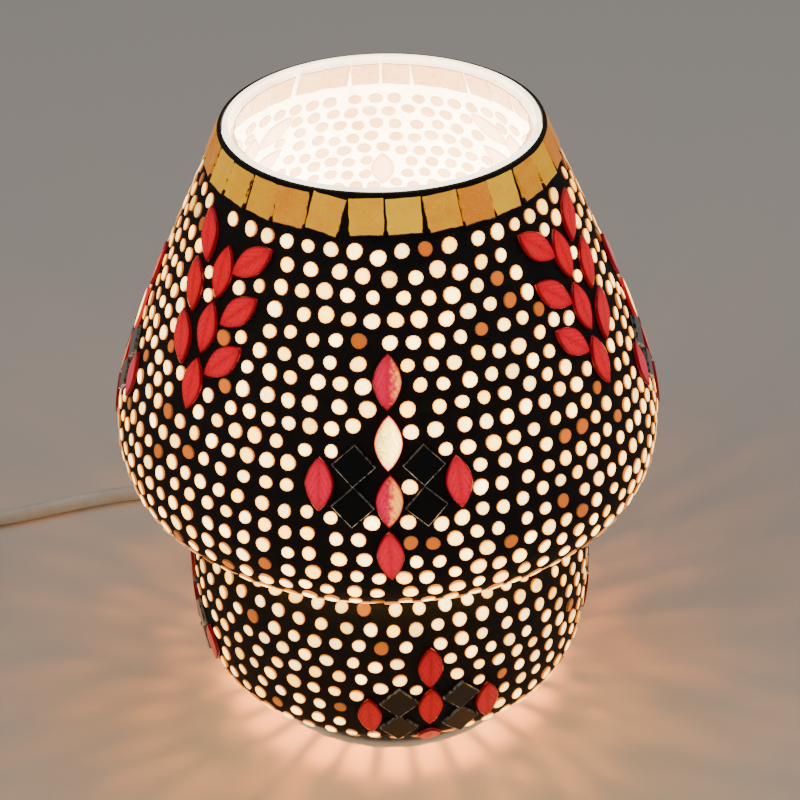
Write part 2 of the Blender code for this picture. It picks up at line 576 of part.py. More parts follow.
def make_holder():
    """Lampholder: base, sleeve, threaded shell, centre contact, two screws, bracket, gland and wires."""
    base = lathe("holder_base", [(0.0, 4.3), (12.6, 4.3), (13.0, 4.7), (13.0, 14.0), (12.4, 14.6), (0.0, 14.6)],
                 "black_phenolic", closed=False, segments=20)
    for x in (-8.0, 8.0):
        cylinder_cut(base, 1.8, 3.0, 12.0, x, 0.0, 10)
    sleeve = [(10.0, 14.9), (12.4, 14.9), (12.4, 18.0), (11.6, 18.6), (11.6, 35.2), (10.8, 36.2), (8.6, 36.2),
              (8.3, 35.6), (8.3, 34.4), (10.0, 33.6)]
    lathe("holder_sleeve", sleeve, "black_phenolic", segments=18)
    outer = threaded_wall(THREAD_LOW - 1.0, THREAD_HIGH - 1.0, THREAD_CLEAR + SHELL_THICK)
    inner = threaded_wall(THREAD_LOW - 1.0, THREAD_HIGH - 1.0, THREAD_CLEAR)
    loft("screw_shell", outer + inner[::-1], "brass", closed=True, smooth=True)
    strip = [(-7.4, 14.9), (7.4, 14.9), (7.4, 15.5), (1.4, 15.6), (2.0, 16.7), (0.0, 17.0), (-2.0, 16.7), (-2.6, 15.6),
             (-7.4, 15.5)]
    rings = [[(x, y, z) for x, z in strip] for y in (-2.4, 2.4)]
    loft("centre_contact", rings, "brass")
    for index, x in enumerate((-8.0, 8.0), 1):
        screw = [(0.0, 0.5), (2.6, 0.5), (3.0, 0.9), (3.0, 1.7), (1.4, 1.7), (1.4, 11.0), (0.7, 11.6), (0.0, 11.6)]
        lathe(f"holder_screw_{index}", screw, "zinc_screw", closed=False, segments=12,
              place=Matrix.Translation((x, 0.0, 0.0)))
    # Bracket: a foot on the plate and an upright with a hole for the gland.
    side = [(22.5, 4.3), (36.6, 4.3), (36.6, 15.8), (35.2, 15.8), (35.2, 5.1), (22.5, 5.1)]
    rings = [[(x, y, z) for y, z in side] for x in (-7.0, 7.0)]
    bracket = loft("flex_bracket", rings, "black_steel")
    cylinder_cut(bracket, 1.8, 3.0, 8.0, 0.0, BRACKET_RIVET_Y, 10)
    along_y = Matrix.Translation((0.0, 0.0, EXIT_Z)) @ Matrix.Rotation(math.radians(-90), 4, "X")
    bore = lathe("bore", [(0.0, 30.0), (3.6, 30.0), (3.6, 40.0), (0.0, 40.0)], "brass", closed=False, segments=16,
                 place=along_y)
    combine(bracket, bore, "DIFFERENCE")
    finish(bracket, "black_steel", False)
    rivet = [(0.0, 0.9), (2.6, 0.9), (2.9, 1.7), (1.3, 1.7), (1.3, 5.4), (2.9, 5.4), (2.5, 6.2), (0.0, 6.4)]
    lathe("bracket_rivet", rivet, "zinc_screw", closed=False, segments=10,
          place=Matrix.Translation((0.0, BRACKET_RIVET_Y, 0.0)))
    gland = [(0.0, 32.4), (3.9, 32.4), (4.1, 32.8), (4.1, 34.9), (3.25, 34.9), (3.25, 36.9), (3.9, 36.9), (3.9, 40.0),
             (3.4, 53.0), (3.1, 53.4), (0.0, 53.4)]
    lathe("flex_gland", gland, "white_pvc", closed=False, segments=14, place=along_y)
    for sign, name, kind in ((-1, "live_wire", "brown_wire"), (1, "neutral_wire", "blue_wire")):
        knots = [(sign * 1.4, 32.0, 9.8), (sign * 1.7, 28.0, 9.8), (sign * 3.2, 21.5, 10.6), (sign * 4.6, 16.6, 9.8),
                 (sign * 5.0, 13.5, 9.4)]
        tube(name, smooth_path(knots, 3.6), 2.2, kind, 1)


# ---------------------------------------------------------------- bulb
def make_bulb():
    """A golf-ball bulb with an E14 cap."""
    outer = threaded_wall(THREAD_LOW, THREAD_HIGH, 0.0)
    skirt = [flat_ring(6.8, 30.0), flat_ring(7.0, 34.0), flat_ring(8.0, 39.6), flat_ring(7.5, 39.6),
             flat_ring(6.4, 34.4), flat_ring(5.3, 32.0)]
    loft("bulb_cap", [flat_ring(5.3, THREAD_LOW)] + outer + skirt, "nickel_cap", closed=True, smooth=True)
    insulator = [(2.6, 18.2), (3.4, 17.9), (5.0, 19.6), (5.0, 21.2), (2.6, 21.2)]
    lathe("cap_insulator", insulator, "black_phenolic", segments=14)
    contact = [(0.0, 17.3), (1.8, 17.5), (2.3, 18.0), (2.3, 20.4), (0.0, 20.4)]
    lathe("cap_contact", contact, "nickel_cap", closed=False, segments=10)
    shell = []
    for degrees in range(-54, 91, 24):
        angle = math.radians(degrees)
        shell.append((BULB_RADIUS * math.cos(angle), BULB_CENTRE + BULB_RADIUS * math.sin(angle)))
    shell[-1] = (0.0, BULB_CENTRE + BULB_RADIUS)
    neck = [(6.8, 37.4), (7.0, 40.2), (8.6, 44.4)]
    inside = []
    for degrees in range(90, -55, -24):
        angle = math.radians(degrees)
        radius = BULB_RADIUS - 0.9
        inside.append((radius * math.cos(angle), BULB_CENTRE + radius * math.sin(angle)))
    inside[0] = (0.0, BULB_CENTRE + BULB_RADIUS - 0.9)
    neck_in = [(7.7, 44.6), (6.1, 40.4), (5.9, 37.4)]
    profile = neck + shell
    profile_in = inside + neck_in
    points, faces = turned(profile, False, 18)
    more, more_faces = turned(profile_in, False, 18)
    shift = len(points)
    faces += [[index + shift for index in face] for face in more_faces]
    first = list(range(18))
    last = list(range(shift + len(more) - 18, shift + len(more)))
    faces += [[first[i], first[(i + 1) % 18], last[(i + 1) % 18], last[i]] for i in range(18)]
    mesh_object("bulb_glass", points + more, faces, "frosted_glass")
    stem = [(0.0, 36.0), (5.2, 36.0), (5.2, 37.0), (2.6, 42.0), (1.9, 52.0), (1.9, 60.0), (0.0, 60.6)]
    lathe("bulb_stem", stem, "stem_glass", closed=False, segments=10)
    wire = [(-2.6, 0.0, 56.0), (-4.0, 0.0, 61.0), (-8.0, 0.0, 67.5), (-8.6, 0.0, 70.0), (-7.0, 1.6, 70.6),
            (-3.4, 3.4, 69.6), (0.0, 4.2, 70.6), (3.4, 3.4, 69.6), (7.0, 1.6, 70.6), (8.6, 0.0, 70.0),
            (8.0, 0.0, 67.5), (4.0, 0.0, 61.0), (2.6, 0.0, 56.0)]
    tube("bulb_filament", smooth_path(wire, 4.0), 0.7, "tungsten", 0)


# ---------------------------------------------------------------- flex, switch, coil and plug
SWITCH_START = np.array((-186.0, 73.4))
HEADING = math.radians(197.0)
DIRECTION = np.array((math.cos(HEADING), math.sin(HEADING)))
SWITCH_CENTRE = SWITCH_START + DIRECTION * SWITCH_LENGTH / 2
SWITCH_END = SWITCH_START + DIRECTION * SWITCH_LENGTH


def make_switch():
    """Inline rocker switch lying on the table."""
    place = Matrix.Translation((*SWITCH_CENTRE, 0.0)) @ Matrix.Rotation(HEADING - math.pi, 4, "Z")
    length, width = SWITCH_LENGTH, SWITCH_WIDTH
    rect = rounded_rect
    lower = [rect(length - 2.4, width - 2.4, 8, 0.3), rect(length, width, 9, 1.6), rect(length, width, 9, 7.9),
             rect(length - 3.6, width - 3.6, 7.6, 7.9), rect(length - 3.6, width - 3.6, 7.6, 2.1)]
    body = loft("switch_lower", lower, "white_plastic", place=place)
    upper = [rect(length - 3.6, width - 3.6, 7.6, 8.2), rect(length, width, 9, 8.2), rect(length, width, 9, 12.8),
             rect(length - 2.6, width - 2.6, 8, 15.2), rect(length - 8, width - 8, 6, 16.2),
             rect(21.6, 12.8, 1.2, 16.4), rect(21.6, 12.8, 1.2, 14.4), rect(length - 9, width - 9, 6, 14.2),
             rect(length - 5.0, width - 5.0, 7, 12.6)]
    loft("switch_upper", upper, "white_plastic", closed=True, place=place)
    pin_place = place @ Matrix.Translation((0.0, 0.0, 12.4)) @ Matrix.Rotation(math.radians(90), 4, "X")
    lathe("switch_pin", [(0.0, -6.6), (0.9, -6.6), (0.9, 6.6), (0.0, 6.6)], "zinc_screw", closed=False, segments=10,
          place=pin_place)
    # The rocker rests tipped to its ON end.
    hub = place @ Vector((0.0, 0.0, 12.4))
    tilt = math.radians(9.0)
    outline = [(-10.2, 4.3), (-9.4, 5.4), (0.0, 4.6), (9.4, 5.4), (10.2, 4.3), (9.4, 1.4), (3.4, 0.6), (2.2, -3.4),
               (-2.2, -3.4), (-3.4, 0.6), (-9.4, 1.4)]
    rocker_place = place @ Matrix.Translation((0.0, 0.0, 12.4)) @ Matrix.Rotation(tilt, 4, "Y")
    rings = [[(x, y, z) for x, z in outline] for y in (-5.6, 5.6)]
    rocker = loft("switch_rocker", rings, "white_plastic", place=rocker_place, origin=hub)
    bore = lathe("bore", [(0.0, -9.0), (1.25, -9.0), (1.25, 9.0), (0.0, 9.0)], "brass", closed=False, segments=12,
                 place=pin_place)
    combine(rocker, bore, "DIFFERENCE")
    finish(rocker, "white_plastic", False)
    for index, sign in enumerate((-1, 1), 1):
        strip = [(sign * 24.0, 2.5), (sign * 7.0, 2.5), (sign * 6.0, 6.0), (sign * 3.4, 6.6), (sign * 3.4, 7.2),
                 (sign * 6.6, 6.6), (sign * 7.6, 3.3), (sign * 24.0, 3.3)]
        rings = [[(x, y, z) for x, z in strip] for y in (-3.0, 3.0)]
        loft(f"switch_contact_{index}", rings, "brass", place=place)
    for index, (x, y) in enumerate(((-18.0, 7.6), (18.0, -7.6)), 1):
        spot = place @ Vector((x, y, 0.0))
        cylinder_cut(body, 1.7, -1.0, 4.0, spot.x, spot.y, 10)
        screw = [(0.0, 0.5), (1.3, 0.5), (1.3, 7.4), (0.6, 8.0), (0.0, 8.0)]
        lathe(f"switch_screw_{index}", screw, "zinc_screw", closed=False, segments=10,
              place=Matrix.Translation((spot.x, spot.y, 0.0)))
    finish(body, "white_plastic", False)


def make_flex():
    """The flex from the gland to the switch, its tail to the coil, the coil, and its end at the plug."""
    rest = FLEX / 2 + 0.1

    def beside(end, distance, height):
        """A point on the switch's axis, past one of its ends."""
        spot = end + DIRECTION * distance
        return float(spot[0]), float(spot[1]), height

    def round_coil(degrees, radius, height):
        """A point at an angle and a distance from the coil's centre."""
        angle = math.radians(degrees)
        return COIL_CENTRE[0] + radius * math.cos(angle), COIL_CENTRE[1] + radius * math.sin(angle), height

    knots = [(0.0, 53.8, EXIT_Z), (0.0, 62.0, 8.9), (-2.0, 73.0, 6.0), (-10.0, 86.5, 3.8), (-24.0, 95.5, rest),
             (-43.0, 100.0, rest), (-66.0, 101.0, rest), (-90.0, 99.5, rest), (-113.0, 96.0, rest),
             (-137.0, 88.9, rest), beside(SWITCH_START, -36.0, rest), beside(SWITCH_START, -21.0, 4.0),
             beside(SWITCH_START, -12.0, 6.6), beside(SWITCH_START, -5.0, 8.0), beside(SWITCH_START, -0.4, 8.0)]
    tube("cord_lead", smooth_path(knots, 9.5), FLEX, "white_pvc", 2)
    knots = [beside(SWITCH_END, 0.4, 8.0), beside(SWITCH_END, 5.0, 8.0), beside(SWITCH_END, 12.0, 6.4),
             round_coil(124, 57.2, 3.9), round_coil(140, 54.2, rest), round_coil(160, 50.0, rest),
             round_coil(180, 46.0, rest)]
    tube("cord_tail", smooth_path(knots, 9.5), FLEX, "white_pvc", 2)
    section = []
    for step in range(8):
        angle = 2 * math.pi * (step + 0.5) / 8
        section.append((COIL_RADIUS + 9.6 * math.cos(angle), 8.9 + 8.7 * math.sin(angle)))
    lathe("cord_coil", section, "white_pvc", segments=24, place=Matrix.Translation((*COIL_CENTRE, 0.0)))
    knots = [round_coil(306, 47.2, 5.8), round_coil(320, 51.0, 3.2), (-186.5, -27.8, 3.3), (-180.2, -19.4, 4.6),
             (-176.6, -10.8, 6.6), (PLUG_START[0] - 0.1, PLUG_START[1] - 4.8, 7.4),
             (PLUG_START[0], PLUG_START[1] - 0.6, 7.4)]
    tube("cord_end", smooth_path(knots, 9.5), FLEX, "white_pvc", 2)
    place = Matrix.Translation(PLUG_START) @ Matrix.Rotation(math.pi / 2, 4, "Z")
    stations_x = [(0.0, 6.4, 6.4), (9.0, 7.4, 7.4), (12.0, 12.0, 11.0), (22.0, 21.0, 13.2), (34.0, 25.0, 13.6),
                  (37.0, 25.4, 13.6), (38.4, 24.0, 12.6)]
    rings = []
    for along, wide, tall in stations_x:
        flat = rounded_rect(wide, tall, tall / 2 - 0.1, 0.0, 4)
        rings.append([(along, a, b) for a, b, _ in flat])
    loft("plug_body", rings, "white_plastic", smooth=True, place=place)
    for index, y in enumerate((-9.0, 9.0), 1):
        pin_place = place @ Matrix.Translation((38.7, y, 0.0)) @ Matrix.Rotation(math.radians(90), 4, "Y")
        pin = [(0.0, 0.0), (2.0, 0.0), (2.0, 17.6), (1.2, 18.9), (0.0, 19.0)]
        lathe(f"plug_pin_{index}", pin, "brass", closed=False, segments=12, place=pin_place)


def main():
    """Builds the lamp."""
    make_glass()
    make_jackets()
    make_motifs()
    make_base()
    make_holder()
    make_bulb()
    make_switch()
    make_flex()


main()
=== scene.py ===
"""Looks of a mosaic glass table lamp.

A one-piece blown glass shade and bowl stand over a small steel base. The glass is jacketed in black cement
grout, with cream opal dots, red pressed leaves, mirror squares and two bands of gold foil tiles set in it.
The white flex leaves at the back, passes an inline rocker switch and ends in a coil and a two-pin plug.

Sizes are in millimetres and turn into metres when a mesh is made. +Z is up, the table is z = 0, the lamp's
axis is Z, its front faces -Y.
"""

import json
import logging
import math
from collections.abc import Sequence
from dataclasses import dataclass
from enum import Enum

import bmesh
import bpy
import numpy as np
from mathutils import Matrix, Vector

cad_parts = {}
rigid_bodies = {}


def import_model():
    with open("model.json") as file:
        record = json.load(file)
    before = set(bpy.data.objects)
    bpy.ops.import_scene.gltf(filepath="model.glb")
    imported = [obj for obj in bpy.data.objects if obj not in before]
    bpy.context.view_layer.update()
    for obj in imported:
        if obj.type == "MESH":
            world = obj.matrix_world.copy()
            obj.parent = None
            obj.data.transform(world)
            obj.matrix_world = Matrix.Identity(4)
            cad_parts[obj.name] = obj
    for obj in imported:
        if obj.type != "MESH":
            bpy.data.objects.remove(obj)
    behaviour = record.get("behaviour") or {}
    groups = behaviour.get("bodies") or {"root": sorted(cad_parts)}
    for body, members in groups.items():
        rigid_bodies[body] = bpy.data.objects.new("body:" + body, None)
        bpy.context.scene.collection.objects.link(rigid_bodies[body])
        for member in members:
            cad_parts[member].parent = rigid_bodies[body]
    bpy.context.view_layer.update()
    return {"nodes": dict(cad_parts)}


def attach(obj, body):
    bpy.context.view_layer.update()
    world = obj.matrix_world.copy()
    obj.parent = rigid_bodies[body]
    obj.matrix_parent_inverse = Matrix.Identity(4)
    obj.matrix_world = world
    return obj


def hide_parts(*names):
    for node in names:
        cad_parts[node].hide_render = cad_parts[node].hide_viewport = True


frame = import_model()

LOG = logging.getLogger("lamp")
MM = 0.001
Path = Sequence[Sequence[float]]


# ------------------------------------------------------------------------------------------- small tools
def linear(code: str, alpha: float = 1.0) -> tuple[float, float, float, float]:
    """Turns an sRGB hex value into linear light.

    Args:
        code: Six hex digits.
        alpha: Fourth value of the result.

    Returns:
        Linear red, green, blue and alpha.
    """
    parts = [int(code[i:i + 2], 16) / 255 for i in (0, 2, 4)]
    return (*(c / 12.92 if c <= 0.04045 else ((c + 0.055) / 1.055) ** 2.4 for c in parts), alpha)


def add(tree: bpy.types.NodeTree, kind: str, inputs: dict | None = None, stops: Sequence = (), **settings):
    """Adds one node with its settings, values and links.

    Args:
        tree: The node tree.
        kind: Blender's name of the node.
        inputs: Socket name or number, with a value or the output socket to link.
        stops: Position and colour of each stop, for a colour ramp.
        settings: The node's own settings.

    Returns:
        The node.
    """
    node = tree.nodes.new(kind)
    for name, value in settings.items():
        setattr(node, name, value)
    for place, (position, colour) in enumerate(stops):
        ramp = node.color_ramp.elements
        stop = ramp[place] if place < len(ramp) else ramp.new(position)
        stop.position, stop.color = position, colour
    for name, value in (inputs or {}).items():
        if isinstance(value, bpy.types.NodeSocket):
            tree.links.new(value, node.inputs[name])
        else:
            node.inputs[name].default_value = value
    return node


def smooth_path(knots: Path, step: float) -> np.ndarray:
    """Points at equal spacing on a smooth curve through the knots.

    Args:
        knots: Points that the curve passes.
        step: Spacing in millimetres.

    Returns:
        The points, one a row.
    """
    knots = [np.array(knot, float) for knot in knots]
    knots = [2 * knots[0] - knots[1], *knots, 2 * knots[-1] - knots[-2]]
    dense = []
    for a, b, c, d in zip(knots, knots[1:], knots[2:], knots[3:]):
        for t in np.linspace(0, 1, 24, endpoint=False):
            dense.append(0.5 * (2 * b + (c - a) * t + (2 * a - 5 * b + 4 * c - d) * t ** 2
                                + (3 * b - a - 3 * c + d) * t ** 3))
    dense = np.array([*dense, knots[-2]])
    along = np.concatenate([[0.0], np.cumsum(np.linalg.norm(np.diff(dense, axis=0), axis=1))])
    at = np.linspace(0.0, along[-1], max(3, int(round(along[-1] / step)) + 1))
    return np.stack([np.interp(at, along, dense[:, axis]) for axis in range(dense.shape[1])], axis=1)


def mesh_of(name: str, points: Path, faces: Sequence, smooth: bool = True,
            sharp: float = 38.0) -> bpy.types.Mesh:
    """Makes a mesh with its faces turned outward.

    Args:
        name: Name of the mesh.
        points: Its points, in millimetres.
        faces: Its faces, as lists of point numbers.
        smooth: Whether it is shaded smooth.
        sharp: Edges that bend more than this many degrees stay sharp.

    Returns:
        The mesh, in metres.
    """
    mesh = bpy.data.meshes.new(name)
    mesh.from_pydata([Vector(point) * MM for point in points], [], faces)
    bm = bmesh.new()
    bm.from_mesh(mesh)
    bmesh.ops.recalc_face_normals(bm, faces=bm.faces)
    if bm.calc_volume(signed=True) < 0:
        bmesh.ops.reverse_faces(bm, faces=bm.faces)
    bm.to_mesh(mesh)
    bm.free()
    if smooth:
        mesh.shade_smooth()
        mesh.set_sharp_from_angle(angle=math.radians(sharp))
    return mesh


def piece(name: str, mesh: bpy.types.ID, finish: "Finish | None", body: str,
          stands_for: Sequence[str] = ()) -> bpy.types.Object:
    """Makes an object of the lamp that rides on a body.

    Args:
        name: Name of the piece.
        mesh: Its mesh or curve, already in its place.
        finish: Its finish, or None where the mesh brings its own.
        body: The body that it rides on.
        stands_for: CAD nodes that it replaces.

    Returns:
        The object.
    """
    made = bpy.data.objects.new(name, mesh)
    bpy.context.scene.collection.objects.link(made)
    if finish:
        mesh.materials.clear()
        mesh.materials.append(finish.material())
    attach(made, body)
    if stands_for:
        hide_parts(*stands_for)
    return made


def redress(finish: "Finish", *nodes: str) -> None:
    """Gives CAD nodes a finish.

    Args:
        finish: The finish.
        nodes: The nodes' names.
    """
    for name in nodes:
        found = frame["nodes"][name]
        for spot in found.material_slots:
            spot.material = finish.material()


def turned(profile: Path, segments: int, closed: bool = True, place: Matrix | None = None) -> tuple[list,
                                                                                                    list]:
    """Turns a profile about Z.

    Args:
        profile: Radius and height of each point; a point on the axis closes the end.
        segments: Points round the axis.
        closed: Whether the last ring joins the first.
        place: Where the body goes.

    Returns:
        Points and faces.
    """
    points, rings, faces = [], [], []
    for radius, height in profile:
        count = 1 if radius < 1e-6 else segments
        rings.append(list(range(len(points), len(points) + count)))
        for step in range(count):
            angle = 2 * math.pi * step / segments
            points.append((radius * math.cos(angle), radius * math.sin(angle), height))
    for low, high in zip(rings, rings[1:] + rings[:1] if closed else rings[1:]):
        for step in range(segments):
            after = (step + 1) % segments
            corners = [low[step % len(low)], low[after % len(low)], high[after % len(high)],
                       high[step % len(high)]]
            kept = list(dict.fromkeys(corners))
            if len(kept) > 2:
                faces.append(kept)
    return [place @ Vector(p) for p in points] if place else points, faces


def lofted(rings: Sequence[Path], closed: bool = False, place: Matrix | None = None) -> tuple[list, list]:
    """Joins rings of equal point counts into a body.

    Args:
        rings: The rings.
        closed: Whether the last ring joins the first; otherwise both ends are capped.
        place: Where the body goes.

    Returns:
        Points and faces.
    """
    count = len(rings[0])
    points = [Vector(point) for ring in rings for point in ring]
    faces = []
    for index in range(len(rings) if closed else len(rings) - 1):
        low, high = index * count, ((index + 1) % len(rings)) * count
        faces += [[low + i, low + (i + 1) % count, high + (i + 1) % count, high + i] for i in range(count)]
    if not closed:
        faces += [list(range(count))[::-1], list(range(len(points) - count, len(points)))]
    return [place @ p for p in points] if place else points, faces


def rounded_rect(length: float, width: float, radius: float, height: float, corner: int = 8) -> list:
    """A rounded rectangle at one height.

    Args:
        length: Size along X.
        width: Size along Y.
        radius: Radius of its corners.
        height: Its height.
        corner: Points in each corner.

    Returns:
        Its points.
    """
    radius = min(radius, length / 2 - 0.01, width / 2 - 0.01)
    outline = []
    for quarter, (sx, sy) in enumerate([(1, 1), (-1, 1), (-1, -1), (1, -1)]):
        for step in range(corner):
            angle = math.pi / 2 * (quarter + step / (corner - 1))
            outline.append((sx * (length / 2 - radius) + radius * math.cos(angle),
                            sy * (width / 2 - radius) + radius * math.sin(angle), height))
    return outline


# ------------------------------------------------------------------------------------------- finishes
@dataclass(frozen=True)
class Finish:
    """A real material and how its surface was made."""

    name: str

    def paint(self, tree: bpy.types.NodeTree, shader: bpy.types.Node) -> None:
        """Adds the finish's nodes. Each kind of finish has its own."""
        raise NotImplementedError

    def material(self) -> bpy.types.Material:
        """The Blender material, made once."""
        found = bpy.data.materials.get(self.name)
        if found is None:
            found = bpy.data.materials.new(self.name)
            found.use_nodes = True
            self.paint(found.node_tree, found.node_tree.nodes["Principled BSDF"])
        return found

    def speckle(self, tree: bpy.types.NodeTree, size_mm: float, detail: float = 3.0) -> bpy.types.Node:
        """Noise on Object coordinates whose patches are about size_mm across."""
        spot = add(tree, "ShaderNodeTexCoord")
        return add(tree, "ShaderNodeTexNoise", {"Vector": spot.outputs["Object"], "Scale": 1000.0 / size_mm,
                                                "Detail": detail, "Roughness": 0.6})

    def relief(self, tree: bpy.types.NodeTree, shader: bpy.types.Node, size_mm: float,
               height_mm: float) -> None:
        """A fine bump of that grain size and height."""
        bump = add(tree, "ShaderNodeBump", {"Strength": 1.0, "Distance": height_mm * MM,
                                            "Height": self.speckle(tree, size_mm).outputs[0]})
        tree.links.new(bump.outputs[0], shader.inputs["Normal"])

    def mix(self, tree: bpy.types.NodeTree, share: object, low: object, high: object,
            blend: str = "MIX") -> bpy.types.NodeSocket:
        """Mixes two colours by a share."""
        return add(tree, "ShaderNodeMix", {0: share, 6: low, 7: high}, data_type="RGBA",
                   blend_type=blend).outputs[2]

    def attribute(self, tree: bpy.types.NodeTree, name: str) -> bpy.types.NodeSocket:
        """A number that the mesh holds at its points."""
        return add(tree, "ShaderNodeAttribute", attribute_name=name).outputs["Fac"]


def set_shader(shader: bpy.types.Node, **values: object) -> None:
    """Sets values on the shader's sockets, with _ for a space in their names."""
    for name, value in values.items():
        shader.inputs[name.replace("_", " ")].default_value = value


@dataclass(frozen=True)
class Moulded(Finish):
    """Plastic, PVC or rubber, moulded or extruded: an even colour, a faint grain and dust-soft gloss."""

    colour: str
    worn: str
    roughness: float = 0.4
    grain_mm: float = 0.6
    grain_height_mm: float = 0.01

    def paint(self, tree: bpy.types.NodeTree, shader: bpy.types.Node) -> None:
        """Two near shades in patches of 9 mm, and the mould's grain."""
        cloud = self.speckle(tree, 9.0)
        colour = add(tree, "ShaderNodeValToRGB", {0: cloud.outputs[0]},
                     stops=[(0.35, linear(self.worn)), (0.6, linear(self.colour))])
        tree.links.new(colour.outputs[0], shader.inputs["Base Color"])
        set_shader(shader, IOR=1.5)
        rough = add(tree, "ShaderNodeMapRange", {0: self.speckle(tree, 4.0).outputs[0],
                                                 3: self.roughness - 0.06,
                                                 4: self.roughness + 0.08})
        tree.links.new(rough.outputs[0], shader.inputs["Roughness"])
        self.relief(tree, shader, self.grain_mm, self.grain_height_mm)


@dataclass(frozen=True)
class Metal(Finish):
    """Bare or plated metal: drawn, turned or brushed, with fine lines and a little tarnish."""

    colour: str
    tarnish: str
    roughness: float = 0.28
    line_mm: float = 0.5

    def paint(self, tree: bpy.types.NodeTree, shader: bpy.types.Node) -> None:
        """Tarnish in patches of 5 mm, and lines wider than the real ones, so that they show."""
        cloud = self.speckle(tree, 5.0)
        colour = add(tree, "ShaderNodeValToRGB", {0: cloud.outputs[0]},
                     stops=[(0.3, linear(self.tarnish)), (0.55, linear(self.colour))])
        tree.links.new(colour.outputs[0], shader.inputs["Base Color"])
        set_shader(shader, Metallic=1.0)
        spot = add(tree, "ShaderNodeTexCoord")
        stretch = add(tree, "ShaderNodeMapping", {"Vector": spot.outputs["Object"],
                                                  "Scale": (1.0, 1.0, 9.0)})
        lines = add(tree, "ShaderNodeTexNoise", {"Vector": stretch.outputs[0],
                                                 "Scale": 1000.0 / self.line_mm / 9.0,
                                                 "Detail": 2.0})
        rough = add(tree, "ShaderNodeMapRange", {0: lines.outputs[0], 3: self.roughness - 0.08,
                                                 4: self.roughness + 0.12})
        tree.links.new(rough.outputs[0], shader.inputs["Roughness"])
        bump = add(tree, "ShaderNodeBump", {"Strength": 0.6, "Distance": 0.012 * MM,
                                            "Height": lines.outputs[0]})
        tree.links.new(bump.outputs[0], shader.inputs["Normal"])


@dataclass(frozen=True)
class PowderCoat(Finish):
    """Black powder-coated steel: satin, with the fine orange peel of the baked powder."""

    colour: str = "161514"

    def paint(self, tree: bpy.types.NodeTree, shader: bpy.types.Node) -> None:
        """Orange peel of 1.2 mm, and lighter dust in patches."""
        colour = add(tree, "ShaderNodeValToRGB", {0: self.speckle(tree, 14.0).outputs[0]},
                     stops=[(0.4, linear(self.colour)), (0.75, linear("25231F"))])
        tree.links.new(colour.outputs[0], shader.inputs["Base Color"])
        set_shader(shader, Roughness=0.42, IOR=1.5)
        self.relief(tree, shader, 1.2, 0.03)


@dataclass(frozen=True)
class CementGrout(Finish):
    """Black pigmented cement grout, pressed in and wiped: matt, sandy, a little smeared between the dots."""

    colour: str = "0B0908"
    smear: str = "1D1713"

    def paint(self, tree: bpy.types.NodeTree, shader: bpy.types.Node) -> None:
        """Sand of 0.5 mm, coarser than the real 0.2 mm so that it shows, and smears of 6 mm."""
        smear = add(tree, "ShaderNodeValToRGB", {0: self.speckle(tree, 6.0, 5.0).outputs[0]},
                    stops=[(0.45, linear(self.colour)), (0.8, linear(self.smear))])
        sand = add(tree, "ShaderNodeValToRGB", {0: self.speckle(tree, 0.5, 2.0).outputs[0]},
                   stops=[(0.62, linear("000000")), (0.85, linear("2A2420"))])
        whole = self.mix(tree, 1.0, smear.outputs[0], sand.outputs[0], "ADD")
        tree.links.new(whole, shader.inputs["Base Color"])
        set_shader(shader, Roughness=0.82, IOR=1.45)
        grain = add(tree, "ShaderNodeBump", {"Strength": 0.7, "Distance": 0.12 * MM,
                                             "Height": self.speckle(tree, 0.5, 3.0).outputs[0]})
        waves = add(tree, "ShaderNodeBump", {"Strength": 0.8, "Distance": 0.5 * MM,
                                             "Normal": grain.outputs[0],
                                             "Height": self.speckle(tree, 4.0).outputs[0]})
        tree.links.new(waves.outputs[0], shader.inputs["Normal"])


